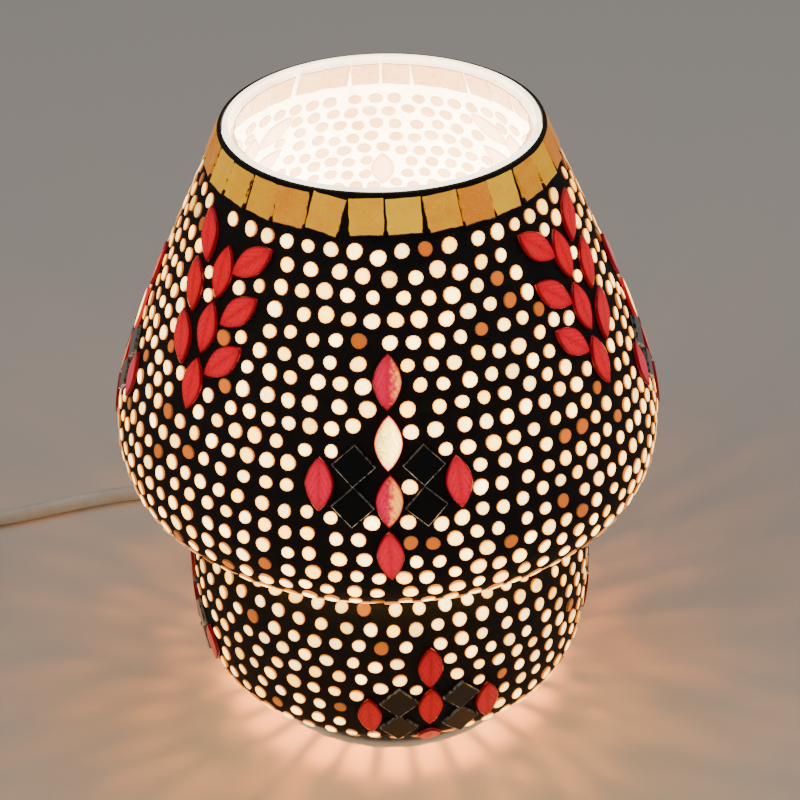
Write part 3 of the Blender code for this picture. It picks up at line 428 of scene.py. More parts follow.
@dataclass(frozen=True)
class LitGlass(Finish):
    """Coloured glass with the lamp alight behind it.

    Each piece's own tint, glow and edge come with its mesh.
    """

    cool: str
    warm: str
    odd: str
    edge: str
    strength: float
    grain_mm: float
    grain: str
    grain_from: float = 0.5
    roughness: float = 0.18
    body: str = "C9A67C"
    odd_lift: float = 0.3
    grain_least: float = 0.15

    def tone(self, tree: bpy.types.NodeTree, tint: bpy.types.NodeSocket) -> tuple:
        """The glass's own colour by tint, odd past 0.95, and how much brighter the odd ones are."""
        colour = self.mix(tree, tint, linear(self.cool), linear(self.warm))
        rare = add(tree, "ShaderNodeMath", {0: tint, 1: 0.95}, operation="GREATER_THAN").outputs[0]
        lift = add(tree, "ShaderNodeMapRange", {0: rare, 3: 1.0, 4: self.odd_lift}).outputs[0]
        return self.mix(tree, rare, colour, linear(self.odd)), lift

    def veins(self, tree: bpy.types.NodeTree) -> bpy.types.NodeSocket:
        """How far each spot is darkened by the grain in the glass, 0 to 1."""
        cloud = self.speckle(tree, self.grain_mm, 4.0)
        return add(tree, "ShaderNodeMapRange", {0: cloud.outputs[0], 1: self.grain_from,
                                                2: self.grain_from + 0.22}).outputs[0]

    def paint(self, tree: bpy.types.NodeTree, shader: bpy.types.Node) -> None:
        """Light through the glass.

        Cool to warm by tint, dimmer and browner in grains, and rimmed at the edge.
        """
        tint, glow, edge = (self.attribute(tree, name) for name in ("tint", "glow", "edge"))
        colour, lift = self.tone(tree, tint)
        dull = add(tree, "ShaderNodeMapRange", {0: glow, 1: 0.25, 2: 1.0, 3: 1.0,
                                                4: self.grain_least}).outputs[0]
        veins = add(tree, "ShaderNodeMath", {0: self.veins(tree), 1: dull}, operation="MULTIPLY").outputs[0]
        colour = self.mix(tree, veins, colour, linear(self.grain))
        rim = add(tree, "ShaderNodeMath", {0: edge, 1: 2.2}, operation="POWER").outputs[0]
        colour = self.mix(tree, rim, colour, linear(self.edge))
        tree.links.new(colour, shader.inputs["Emission Color"])
        fade = add(tree, "ShaderNodeMapRange", {0: rim, 3: 1.0, 4: 0.22}).outputs[0]
        fade = add(tree, "ShaderNodeMath", {0: fade, 1: lift}, operation="MULTIPLY").outputs[0]
        power = add(tree, "ShaderNodeMath", {0: glow, 1: 2.2}, operation="POWER").outputs[0]
        power = add(tree, "ShaderNodeMath", {0: power, 1: self.strength}, operation="MULTIPLY").outputs[0]
        power = add(tree, "ShaderNodeMath", {0: power, 1: fade}, operation="MULTIPLY").outputs[0]
        tree.links.new(power, shader.inputs["Emission Strength"])
        body = self.mix(tree, veins, linear(self.body), linear(self.grain))
        tree.links.new(body, shader.inputs["Base Color"])
        set_shader(shader, Roughness=self.roughness, IOR=1.5)
        self.relief(tree, shader, 1.6, 0.05)


@dataclass(frozen=True)
class PressedLeaf(LitGlass):
    """Red pressed glass leaf.

    A midrib and fine side veins are pressed into it, and some have gold on one half.
    """

    gold: str = "FFA838"

    def tone(self, tree: bpy.types.NodeTree, tint: bpy.types.NodeSocket) -> tuple:
        """Red to pink by tint, with mottled gold on the right half of the pinkest leaves."""
        colour, lift = LitGlass.tone(self, tree, tint)
        local = add(tree, "ShaderNodeAttribute", attribute_name="local")
        aside = add(tree, "ShaderNodeSeparateXYZ", {0: local.outputs["Vector"]}).outputs[0]
        mottle = self.speckle(tree, 1.1, 3.0).outputs[0]
        reach = add(tree, "ShaderNodeMath", {0: aside, 1: 1.3, 2: mottle},
                    operation="MULTIPLY_ADD").outputs[0]
        reach = add(tree, "ShaderNodeMath", {0: tint, 1: 2.6, 2: reach}, operation="MULTIPLY_ADD").outputs[0]
        share = add(tree, "ShaderNodeMapRange", {0: reach, 1: 2.72, 2: 3.1}).outputs[0]
        bright = add(tree, "ShaderNodeMath", {0: share, 1: 1.4, 2: 1.0}, operation="MULTIPLY_ADD").outputs[0]
        lift = add(tree, "ShaderNodeMath", {0: lift, 1: bright}, operation="MULTIPLY").outputs[0]
        rare = add(tree, "ShaderNodeMath", {0: tint, 1: 0.95}, operation="LESS_THAN").outputs[0]
        share = add(tree, "ShaderNodeMath", {0: share, 1: rare}, operation="MULTIPLY").outputs[0]
        return self.mix(tree, share, colour, linear(self.gold)), lift

    def veins(self, tree: bpy.types.NodeTree) -> bpy.types.NodeSocket:
        """A midrib along the leaf, slanting side veins and a seedy grain, from the leaf's own coordinates."""
        local = add(tree, "ShaderNodeAttribute", attribute_name="local")
        parts = add(tree, "ShaderNodeSeparateXYZ", {0: local.outputs["Vector"]})
        aside = add(tree, "ShaderNodeMath", {0: parts.outputs[0]}, operation="ABSOLUTE").outputs[0]
        slant = add(tree, "ShaderNodeMath", {0: aside, 1: 1.1, 2: parts.outputs[1]},
                    operation="MULTIPLY_ADD").outputs[0]
        wave = add(tree, "ShaderNodeMath", {0: slant, 1: 34.0}, operation="MULTIPLY").outputs[0]
        wave = add(tree, "ShaderNodeMath", {0: wave}, operation="SINE").outputs[0]
        side = add(tree, "ShaderNodeMapRange", {0: wave, 1: 0.2, 2: 1.0, 3: 0.0, 4: 0.4}).outputs[0]
        rib = add(tree, "ShaderNodeMapRange", {0: aside, 1: 0.0, 2: 0.16, 3: 0.55, 4: 0.0}).outputs[0]
        seed = LitGlass.veins(self, tree)
        most = add(tree, "ShaderNodeMath", {0: side, 1: rib}, operation="MAXIMUM").outputs[0]
        return add(tree, "ShaderNodeMath", {0: seed, 1: 0.55, 2: most}, operation="MULTIPLY_ADD").outputs[0]


@dataclass(frozen=True)
class MirrorGlass(Finish):
    """Cut mirror: near black as a painted reflection of a dark room, very glossy, with a painted highlight on
    its ground edges.
    """

    dark: str = "060505"
    # Colour of the painted highlight on the ground edge.
    bright: str = "C9C4BA"

    def paint(self, tree: bpy.types.NodeTree, shader: bpy.types.Node) -> None:
        """Black face as a painted reflection; a painted highlight on the edge where the mesh says it is
        ground, glowing a little.
        """
        edge = self.attribute(tree, "edge")
        line = add(tree, "ShaderNodeMapRange", {0: edge, 1: 0.35, 2: 0.8}).outputs[0]
        chipped = add(tree, "ShaderNodeMapRange", {0: self.speckle(tree, 1.5).outputs[0], 1: 0.38,
                                                   2: 0.6}).outputs[0]
        line = add(tree, "ShaderNodeMath", {0: line, 1: chipped}, operation="MULTIPLY").outputs[0]
        # Painted highlight: the edge line is kept strongest where local x exceeds y, on one side of the
        # square.
        local = add(tree, "ShaderNodeAttribute", attribute_name="local")
        parts = add(tree, "ShaderNodeSeparateXYZ", {0: local.outputs["Vector"]}).outputs
        low = add(tree, "ShaderNodeMath", {0: parts[0], 1: parts[1]}, operation="SUBTRACT").outputs[0]
        low = add(tree, "ShaderNodeMapRange", {0: low, 1: -0.1, 2: 0.25, 3: 0.16, 4: 1.0}).outputs[0]
        line = add(tree, "ShaderNodeMath", {0: line, 1: low}, operation="MULTIPLY").outputs[0]
        colour = self.mix(tree, line, linear(self.dark), linear(self.bright))
        tree.links.new(colour, shader.inputs["Base Color"])
        # The painted highlight is also given as emission, so the ground edge glows.
        tree.links.new(self.mix(tree, line, linear("000000"), linear("B8A88C")),
                       shader.inputs["Emission Color"])
        set_shader(shader, Roughness=0.09, IOR=1.5, Emission_Strength=0.9)


@dataclass(frozen=True)
class GoldFoilGlass(Finish):
    """Gold foil glass tile, cut by hand.

    Amber, with crackled foil and dark chipped edges, glowing a little.
    """

    bright: str = "FFBE0A"
    deep: str = "E88600"
    chip: str = "2E1004"
    strength: float = 0.95

    def paint(self, tree: bpy.types.NodeTree, shader: bpy.types.Node) -> None:
        """Foil in patches of 5 mm with scratches of 0.7 mm; the edge is chipped back to brown."""
        tint, glow, edge = (self.attribute(tree, name) for name in ("tint", "glow", "edge"))
        patch = self.speckle(tree, 5.0, 4.0).outputs[0]
        share = add(tree, "ShaderNodeMath", {0: patch, 1: tint}, operation="ADD").outputs[0]
        share = add(tree, "ShaderNodeMapRange", {0: share, 1: 0.45, 2: 1.35}).outputs[0]
        colour = self.mix(tree, share, linear(self.bright), linear(self.deep))
        scratch = add(tree, "ShaderNodeMapRange", {0: self.speckle(tree, 0.7, 3.0).outputs[0], 1: 0.54,
                                                   2: 0.8, 4: 0.28}).outputs[0]
        colour = self.mix(tree, scratch, colour, linear("FFE9A8"))
        ragged = add(tree, "ShaderNodeMath", {0: self.speckle(tree, 1.8, 4.0).outputs[0], 1: 0.55},
                     operation="MULTIPLY").outputs[0]
        ragged = add(tree, "ShaderNodeMath", {0: edge, 1: ragged}, operation="ADD").outputs[0]
        local = add(tree, "ShaderNodeAttribute", attribute_name="local")
        high = add(tree, "ShaderNodeSeparateXYZ", {0: local.outputs["Vector"]}).outputs[1]
        spare = add(tree, "ShaderNodeMapRange", {0: high, 1: -0.44, 2: -0.34, 3: 0.0, 4: 0.34}).outputs[0]
        ragged = add(tree, "ShaderNodeMath", {0: ragged, 1: spare}, operation="SUBTRACT").outputs[0]
        chips = add(tree, "ShaderNodeMapRange", {0: ragged, 1: 0.92, 2: 1.02}).outputs[0]
        colour = self.mix(tree, chips, colour, linear(self.chip))
        tree.links.new(self.mix(tree, 0.55, colour, linear("2A1204")), shader.inputs["Base Color"])
        tree.links.new(colour, shader.inputs["Emission Color"])
        power = add(tree, "ShaderNodeMath", {0: glow, 1: self.strength}, operation="MULTIPLY").outputs[0]
        tree.links.new(power, shader.inputs["Emission Strength"])
        set_shader(shader, Roughness=0.2, IOR=1.5)
        self.relief(tree, shader, 2.4, 0.14)


@dataclass(frozen=True)
class BlownGlass(Finish):
    """Clear blown glass, lit white by the bulb inside it and faintly streaked where it was blown."""

    strength: float = 7.0

    def paint(self, tree: bpy.types.NodeTree, shader: bpy.types.Node) -> None:
        """White light that fades towards the lip, with slow streaks of 22 mm."""
        glow = self.attribute(tree, "glow")
        streak = add(tree, "ShaderNodeMapRange", {0: self.speckle(tree, 22.0, 2.0).outputs[0], 1: 0.3, 2: 0.7,
                                                  3: 0.78, 4: 1.1}).outputs[0]
        colour = self.mix(tree, glow, linear("FFD9A8"), linear("FFEFD2"))
        tree.links.new(colour, shader.inputs["Emission Color"])
        power = add(tree, "ShaderNodeMath", {0: glow, 1: self.strength}, operation="MULTIPLY").outputs[0]
        power = add(tree, "ShaderNodeMath", {0: power, 1: streak}, operation="MULTIPLY").outputs[0]
        tree.links.new(power, shader.inputs["Emission Strength"])
        set_shader(shader, Base_Color=linear("E9E4DA"), Roughness=0.06, IOR=1.5)


@dataclass(frozen=True)
class FrostedBulb(Finish):
    """Acid-frosted soda glass bulb, alight: brightest round the filament, dimmer at the neck."""

    strength: float = 10.0

    def paint(self, tree: bpy.types.NodeTree, shader: bpy.types.Node) -> None:
        """Warm white light that falls away down the neck, over a fine frosted grain."""
        spot = add(tree, "ShaderNodeTexCoord")
        height = add(tree, "ShaderNodeSeparateXYZ", {0: spot.outputs["Object"]}).outputs[2]
        share = add(tree, "ShaderNodeMapRange", {0: height, 1: 0.038, 2: 0.066}).outputs[0]
        colour = self.mix(tree, share, linear("FFC98A"), linear("FFF3DC"))
        tree.links.new(colour, shader.inputs["Emission Color"])
        power = add(tree, "ShaderNodeMath", {0: share, 1: self.strength, 2: 0.6},
                    operation="MULTIPLY_ADD").outputs[0]
        tree.links.new(power, shader.inputs["Emission Strength"])
        set_shader(shader, Base_Color=linear("EFE9DC"), Roughness=0.55, IOR=1.5)
        self.relief(tree, shader, 0.5, 0.01)


GROUT = CementGrout("black_cement_grout")
DOT = LitGlass("cream_opal_glass_dot", "FFE08A", "FFBC34", "FF7400", "F07A10", 9.0, 1.3, "C8641C", 0.48,
               body="8E6A3C",
               odd_lift=0.14)
# DOT_BACK, LEAF_BACK and TILE_BACK glow as painted light: the bulb's light falling on the backs of the pieces
# inside the glass.
DOT_BACK = LitGlass("opal_dot_back_seen_through_glass", "FFEFD8", "FFDDB4", "F0A860", "DC8A4C", 5.6, 1.3,
                    "E8A468",
                    0.5, odd_lift=0.6)
LEAF = PressedLeaf("red_pressed_glass_leaf", "FF0014", "FF1452", "FFD870", "D80018", 1.1, 0.9, "7A0010", 0.5,
                   body="6A0410", odd_lift=3.4, grain_least=0.6)
LEAF_BACK = LitGlass("red_leaf_back_seen_through_glass", "FFD8C8", "FFE0D0", "FFD0C0", "E86C68", 6.5, 1.6,
                     "F09890",
                     0.5, odd_lift=1.0)
MIRROR = MirrorGlass("cut_mirror_glass")
TILE = GoldFoilGlass("gold_foil_glass_tile")
TILE_BACK = LitGlass("foil_tile_back_seen_through_glass", "FFDCA8", "F4C084", "E8B078", "C8844C", 3.4, 2.2,
                     "C88C58",
                     0.48, odd_lift=0.9)
GLASS = BlownGlass("clear_blown_glass")
BULB = FrostedBulb("acid_frosted_bulb_glass")
STEM = LitGlass("clear_stem_glass", "FFE2B8", "FFE2B8", "FFE2B8", "FFD9A0", 1.0, 3.0, "FFD9A0")
STEEL = PowderCoat("black_powder_coated_steel")
RUBBER = Moulded("black_moulded_rubber", "0D0D0D", "1C1B1A", 0.72, 0.8, 0.03)
SPRING = Metal("tempered_spring_steel", "A6A6AC", "7C7A7C", 0.26)
ZINC = Metal("bright_zinc_plate", "C9CBCE", "9C9C98", 0.24)
PHENOLIC = Moulded("black_moulded_phenolic", "100E0D", "1B1816", 0.32, 1.5, 0.01)
BRASS = Metal("pressed_brass", "D9AF5B", "9C7430", 0.22)
NICKEL = Metal("nickel_plated_cap", "CFCBC0", "9E9788", 0.2)
TUNGSTEN = Metal("drawn_tungsten_wire", "8C8880", "5C5852", 0.35)
PVC = Moulded("white_extruded_flex_pvc", "E6E3DB", "DAD5CA", 0.38, 1.4, 0.02)
ABS = Moulded("white_moulded_abs", "ECE9E2", "E1DCD2", 0.3, 0.8, 0.012)
TIE = Moulded("black_moulded_nylon_tie", "1A1A1B", "26262A", 0.45)
BROWN = Moulded("brown_wire_sleeve", "4E2812", "3E1F0E", 0.42)
BLUE = Moulded("blue_wire_sleeve", "1F4C8C", "183C70", 0.42)


# ------------------------------------------------------------------------------------------- turned surfaces
class TurnedSurface:
    """The lamp's outer surface: a smooth profile turned about Z, in millimetres."""

    def __init__(self, knots: Path) -> None:
        """Finds the profile's points, slopes and lengths.

        Args:
            knots: Radius and height of points on the profile, from low to high.
        """
        self.curve = smooth_path(knots, 1.0)
        slope = np.gradient(self.curve, axis=0)
        self.slope = slope / np.linalg.norm(slope, axis=1)[:, None]
        self.along = np.concatenate([[0.0], np.cumsum(np.linalg.norm(np.diff(self.curve, axis=0), axis=1))])

    def length_at(self, height: float) -> float:
        """Length along the profile at a height."""
        return float(np.interp(height, self.curve[:, 1], self.along))

    def lay(self, length: np.ndarray, angle: np.ndarray, depth: np.ndarray | float = 0.0) -> tuple:
        """Places on the surface.

        Args:
            length: Length along the profile of each place.
            angle: Angle round Z of each place, from +X.
            depth: How far under the surface.

        Returns:
            Points, directions across, directions up the surface, and outward normals.
        """
        radius, height = (np.interp(length, self.along, self.curve[:, i]) for i in (0, 1))
        up_r, up_z = (np.interp(length, self.along, self.slope[:, i]) for i in (0, 1))
        cos, sin, none = np.cos(angle), np.sin(angle), np.zeros_like(angle)
        up = np.stack([up_r * cos, up_r * sin, up_z], axis=1)
        up /= np.linalg.norm(up, axis=1)[:, None]
        across = np.stack([-sin, cos, none], axis=1)
        normal = np.cross(across, up)
        points = np.stack([radius * cos, radius * sin, height], axis=1)
        return points - normal * np.reshape(depth, (-1, 1)), across, up, normal

    def shell(self, depth: float, low: float, high: float, step: int = 2) -> list[tuple[float, float]]:
        """The profile moved inward.

        Args:
            depth: How far.
            low: Lowest height kept, before the move.
            high: Highest height kept.
            step: Every how many points.

        Returns:
            Radius and height of each point.
        """
        moved = self.curve + depth * np.stack([-self.slope[:, 1], self.slope[:, 0]], axis=1)
        kept = [i for i in range(len(self.curve)) if low <= self.curve[i, 1] <= high]
        chosen = sorted({*kept[::step], kept[-1]})
        return [tuple(float(v) for v in moved[i]) for i in chosen]


SHADE = TurnedSurface([(59.0, 80.8), (69.0, 85.5), (80.0, 91.0), (87.6, 98.5), (90.2, 109.0), (89.0, 121.0),
                       (83.3, 139.0), (74.4, 161.0), (63.8, 185.0), (54.8, 204.0), (49.6, 215.0)])
BOWL = TurnedSurface([(47.8, 14.3), (54.0, 14.5), (61.5, 16.3), (67.2, 22.5), (69.2, 32.0), (70.0, 46.0),
                      (69.6, 61.0), (66.5, 73.0), (59.0, 80.2)])
GROUT_BELOW, GROUT_THICK, GLASS_BELOW, GLASS_THICK = 0.9, 1.3, 2.5, 2.2
LIP_TOP, LIP_OUTER, LIP_INNER, FOOT_OUTER, FOOT_BOTTOM = 216.0, 48.4, 46.4, 45.0, 5.0
RIM_LOW, RIM_HIGH = 203.9, 214.9


# ------------------------------------------------------------------------------------------- glass pieces
class Shape(Enum):
    """Kinds of cut glass piece."""

    DOT = "dot"
    PETAL = "petal"
    MIRROR = "mirror"
    TILE = "tile"


@dataclass
class CutPiece:
    """A small glass piece of unit size, lying on z = 0 with its top at z = 1."""

    shape: Shape
    seed: int
    bevel: float = 0.08
    uneven: float = 0.03

    def outline(self) -> np.ndarray:
        """The piece's corners, one unit across and along."""
        rng = np.random.default_rng(self.seed)
        if self.shape is Shape.DOT:
            angle = np.linspace(0, 2 * np.pi, 12, endpoint=False)
            wobble = 1 + self.uneven * np.sin(2 * angle + rng.uniform(0, 6)) + \
                self.uneven * 0.7 * np.sin(3 * angle + rng.uniform(0, 6))
            return 0.5 * np.stack([np.cos(angle), np.sin(angle)], axis=1) * wobble[:, None]
        if self.shape is Shape.PETAL:
            share = np.linspace(-1, 1, 13)
            half = 0.5 * (1 - np.abs(share) ** 1.75) ** 0.86
            right = np.stack([half, share / 2], axis=1)
            return np.concatenate([right, np.stack([-half, share / 2], axis=1)[-2:0:-1]])
        corners = np.array([(1, -1), (1, 1), (-1, 1), (-1, -1)]) / 2
        if self.shape is Shape.MIRROR:
            return corners
        parts = []
        for a, b in zip(corners, np.roll(corners, -1, axis=0)):
            nick = rng.normal(0, self.uneven / 2, (5, 2))
            nick[0] *= 0.6
            parts.append(a + (b - a) * (np.arange(5) / 5)[:, None] + nick)
        return np.concatenate(parts)

    def mesh(self, name: str, thin: bool = False) -> bpy.types.Mesh:
        """Makes the piece.

        Args:
            name: Name of its mesh.
            thin: Whether it is a plain thin plate, for the back of a piece seen through the glass.

        Returns:
            A mesh one metre across, with "edge" and "local" at its points.
        """
        ring = self.outline()
        count = len(ring)
        rings = [(1.0, 0.0, 1.0), (1.0, 0.86 if not thin else 1.0, 1.0), (1 - self.bevel, 1.0, 0.55),
                 (0.55, 1.04, 0.0)]
        rings = rings[:1] + rings[1:] if not thin else [(1.0, 0.0, 1.0), (1.0, 1.0, 1.0), (0.72, 1.0, 0.25)]
        if self.shape is Shape.MIRROR:
            rings = [(1.0, 0.0, 1.0), (1.0, 0.9, 1.0), (1 - self.bevel, 1.0, 1.0), (0.985 - self.bevel, 1.0,
                                                                                    0.0)]
        points = [(x * s, y * s, z) for s, z, _ in rings for x, y in ring] + [(0.0, 0.0, rings[-1][1] + 0.01)]
        edges = [e for *_, e in rings for _ in ring] + [0.0]
        faces = [[k * count + i, k * count + (i + 1) % count, (k + 1) * count + (i + 1) % count,
                  (k + 1) * count + i]
                 for k in range(len(rings) - 1) for i in range(count)]
        last = (len(rings) - 1) * count
        faces += [[last + i, last + (i + 1) % count, len(points) - 1] for i in range(count)]
        faces.append(list(range(count))[::-1])
        made = bpy.data.meshes.new(name)
        made.from_pydata(points, [], faces)
        made.shade_smooth()
        made.set_sharp_from_angle(angle=math.radians(50))
        made.attributes.new("edge", "FLOAT", "POINT").data.foreach_set("value", edges)
        local = made.attributes.new("local", "FLOAT_VECTOR", "POINT")
        local.data.foreach_set("vector", [v for point in points for v in point])
        return made


@dataclass
class Laid:
    """Pieces laid on a surface: where, which way, how big, and how each one is lit."""

    points: np.ndarray
    across: np.ndarray
    up: np.ndarray
    size: np.ndarray
    shape: np.ndarray
    tint: np.ndarray
    glow: np.ndarray

    def inside(self, depth: float, grow: float = 1.0) -> "Laid":
        """The same pieces seen from inside.

        Args:
            depth: How far further in.
            grow: Their size against the pieces outside.

        Returns:
            The pieces' backs, facing in.
        """
        normal = np.cross(self.across, self.up)
        size = self.size * np.array([grow, grow, 1.0])
        size[:, 2] = 0.25
        return Laid(self.points - normal * depth, -self.across, self.up, size, self.shape, self.tint,
                    self.glow)

    def only(self, kept: np.ndarray) -> "Laid":
        """The chosen ones."""
        return Laid(*(getattr(self, name)[kept] for name in self.__dataclass_fields__))

    @staticmethod
    def joined(groups: Sequence["Laid"]) -> "Laid":
        """Several groups as one."""
        return Laid(*(np.concatenate([getattr(g,
                                              name) for g in groups]) for name in Laid.__dataclass_fields__))


class PieceSetter:
    """Sets glass pieces on a surface with one Geometry Nodes tree, and turns the result into a plain mesh."""

    SEED = 7

    def __init__(self) -> None:
        """Builds the tree: one piece on each point, a little uneven in size, tilt and turn."""
        tree = bpy.data.node_groups.new("set_glass_pieces", "GeometryNodeTree")
        self.tree = tree
        self.sockets = {}
        tree.interface.new_socket("Geometry", in_out="OUTPUT", socket_type="NodeSocketGeometry")
        for name, kind in (("Geometry", "Geometry"), ("Shapes", "Collection"), ("Size spread", "Float"),
                           ("Tilt", "Float"), ("Spin", "Float"), ("Seed", "Int"), ("Finish", "Material")):
            made = tree.interface.new_socket(name, in_out="INPUT", socket_type=f"NodeSocket{kind}")
            self.sockets[name] = made.identifier
        given = add(tree, "NodeGroupInput").outputs
        turn, size = (add(tree, "GeometryNodeInputNamedAttribute", {"Name": name},
                          data_type="FLOAT_VECTOR").outputs[0]
                      for name in ("turn", "size"))
        shape = add(tree, "GeometryNodeInputNamedAttribute", {"Name": "shape"}, data_type="INT").outputs[0]
        shapes = add(tree, "GeometryNodeCollectionInfo", {"Collection": given["Shapes"],
                                                          "Separate Children": True,
                                                          "Reset Children": True}).outputs[0]
        most = add(tree, "ShaderNodeCombineXYZ", {0: given["Tilt"], 1: given["Tilt"],
                                                  2: given["Spin"]}).outputs[0]
        least = add(tree, "ShaderNodeVectorMath", {0: most, 1: (-1.0, -1.0, -1.0)},
                    operation="MULTIPLY").outputs[0]
        lean = add(tree, "FunctionNodeRandomValue", {0: least, 1: most, "Seed": given["Seed"]},
                   data_type="FLOAT_VECTOR").outputs[0]
        base = add(tree, "FunctionNodeEulerToRotation", {0: turn}).outputs[0]
        lean = add(tree, "FunctionNodeEulerToRotation", {0: lean}).outputs[0]
        whole = add(tree, "FunctionNodeRotateRotation", {0: base, 1: lean}, rotation_space="LOCAL").outputs[0]
        high = add(tree, "ShaderNodeMath", {0: 1.0, 1: given["Size spread"]}, operation="ADD").outputs[0]
        low = add(tree, "ShaderNodeMath", {0: 1.0, 1: given["Size spread"]}, operation="SUBTRACT").outputs[0]
        spread = add(tree, "FunctionNodeRandomValue", {2: low, 3: high, "Seed": given["Seed"]},
                     data_type="FLOAT").outputs[1]
        size = add(tree, "ShaderNodeVectorMath", {0: size, "Scale": spread}, operation="SCALE").outputs[0]
        placed = add(tree, "GeometryNodeInstanceOnPoints",
                     {"Points": given["Geometry"], "Instance": shapes, "Pick Instance": True,
                      "Instance Index": shape, "Rotation": whole, "Scale": size}).outputs[0]
        real = add(tree, "GeometryNodeRealizeInstances", {0: placed}).outputs[0]
        dressed = add(tree, "GeometryNodeSetMaterial", {0: real, "Material": given["Finish"]}).outputs[0]
        add(tree, "NodeGroupOutput", {0: dressed})

    def set(self, name: str, laid: Laid, shapes: Sequence[bpy.types.Mesh], finish: Finish,
            spread: float = 0.05,
            tilt: float = 0.03, spin: float = 0.0) -> bpy.types.Mesh:
        """Sets the pieces.

        Args:
            name: Name of the mesh.
            laid: The pieces.
            shapes: The meshes that their shape numbers pick from.
            finish: Their finish.
            spread: Share by which their sizes differ.
            tilt: Most that each leans, in radians.
            spin: Most that each is turned on its bed, in radians.

        Returns:
            One plain mesh.
        """
        holder = bpy.data.collections.new(f"{name}_shapes")
        for number, shape in enumerate(shapes):
            holder.objects.link(bpy.data.objects.new(f"{name}_shape_{number}", shape))
        carrier = bpy.data.meshes.new(name)
        carrier.from_pydata([Vector(p) * MM for p in laid.points], [], [])
        normal = np.cross(laid.across, laid.up)
        turns = [Matrix(np.stack(axes, axis=1).tolist()).to_euler() for axes in zip(laid.across, laid.up,
                                                                                    normal)]
        for key, kind, values in (("turn", "FLOAT_VECTOR", [v for turn in turns for v in turn]),
                                  ("size", "FLOAT_VECTOR", (laid.size * MM).ravel()),
                                  ("shape", "INT", laid.shape.astype(int)), ("tint", "FLOAT", laid.tint),
                                  ("glow", "FLOAT", laid.glow)):
            spot = carrier.attributes.new(key, kind, "POINT")
            spot.data.foreach_set("vector" if kind == "FLOAT_VECTOR" else "value", list(values))
        obj = bpy.data.objects.new(name, carrier)
        bpy.context.scene.collection.objects.link(obj)
        modifier = obj.modifiers.new("set_glass_pieces", "NODES")
        modifier.node_group = self.tree
        for key, value in (("Shapes", holder), ("Size spread", spread), ("Tilt", tilt), ("Spin", spin),
                           ("Seed", self.SEED), ("Finish", finish.material())):
            modifier[self.sockets[key]] = value
        graph = bpy.context.evaluated_depsgraph_get()
        made = bpy.data.meshes.new_from_object(obj.evaluated_get(graph))
        made.name = name
        for old in ("turn", "size", "shape"):
            if old in made.attributes:
                made.attributes.remove(made.attributes[old])
        obj.modifiers.clear()
        bpy.data.objects.remove(obj, do_unlink=True)
        for old in list(holder.objects):
            bpy.data.objects.remove(old, do_unlink=True)
        bpy.data.collections.remove(holder)
        return made


# ------------------------------------------------------------------------------------------- mosaic
def painted_front_light(angle: np.ndarray) -> np.ndarray:
    """Painted light by the angle round the lamp: 1 at the lamp's front, falling to 0 at the back."""
    return 0.5 + 0.5 * np.cos(angle + math.pi / 2)


@dataclass
class Motif:
    """A motif of leaves and mirrors: kind, side, height, lean in degrees and tint of each piece."""

    surface: TurnedSurface
    pieces: Sequence[tuple[str, float, float, float, float]]
    petal: tuple[float, float] = (16.4, 8.2)
    mirror: float = 9.0
    bed: float = 0.6
    thick: float = 1.1

    def laid(self, turn: float, flip: int = 1) -> tuple[Laid, Laid]:
        """The motif's pieces, once.

        Args:
            turn: Degrees round Z from the front.
            flip: -1 to swap left and right.

        Returns:
            The leaves and the mirrors.
        """
        groups = {"petal": [], "mirror": []}
        for kind, side, height, lean, tint in self.pieces:
            length = self.surface.length_at(height)
            radius = float(np.interp(length, self.surface.along, self.surface.curve[:, 0]))
            angle = flip * side / radius - math.pi / 2 + math.radians(turn)
            point, across, up, _ = self.surface.lay(np.array([length]), np.array([angle]), self.bed)
            a = math.radians(lean * flip)
            leant = across * math.cos(a) - up * math.sin(a), across * math.sin(a) + up * math.cos(a)
            size = {"petal": (self.petal[1], self.petal[0]), "half": (self.petal[1], 9.0),
                    "mirror": (self.mirror, self.mirror)}[kind]
            # Painted light: the leaves and mirrors glow brighter towards the lamp's front.
            glow = 0.72 + 0.28 * painted_front_light(np.array([angle]))
            groups["mirror" if kind == "mirror" else "petal"].append(
                Laid(point, *leant, np.array([[*size, self.thick]]), np.array([0]), np.array([tint]), glow))
        return Laid.joined(groups["petal"]), (Laid.joined(groups["mirror"]) if groups["mirror"] else None)


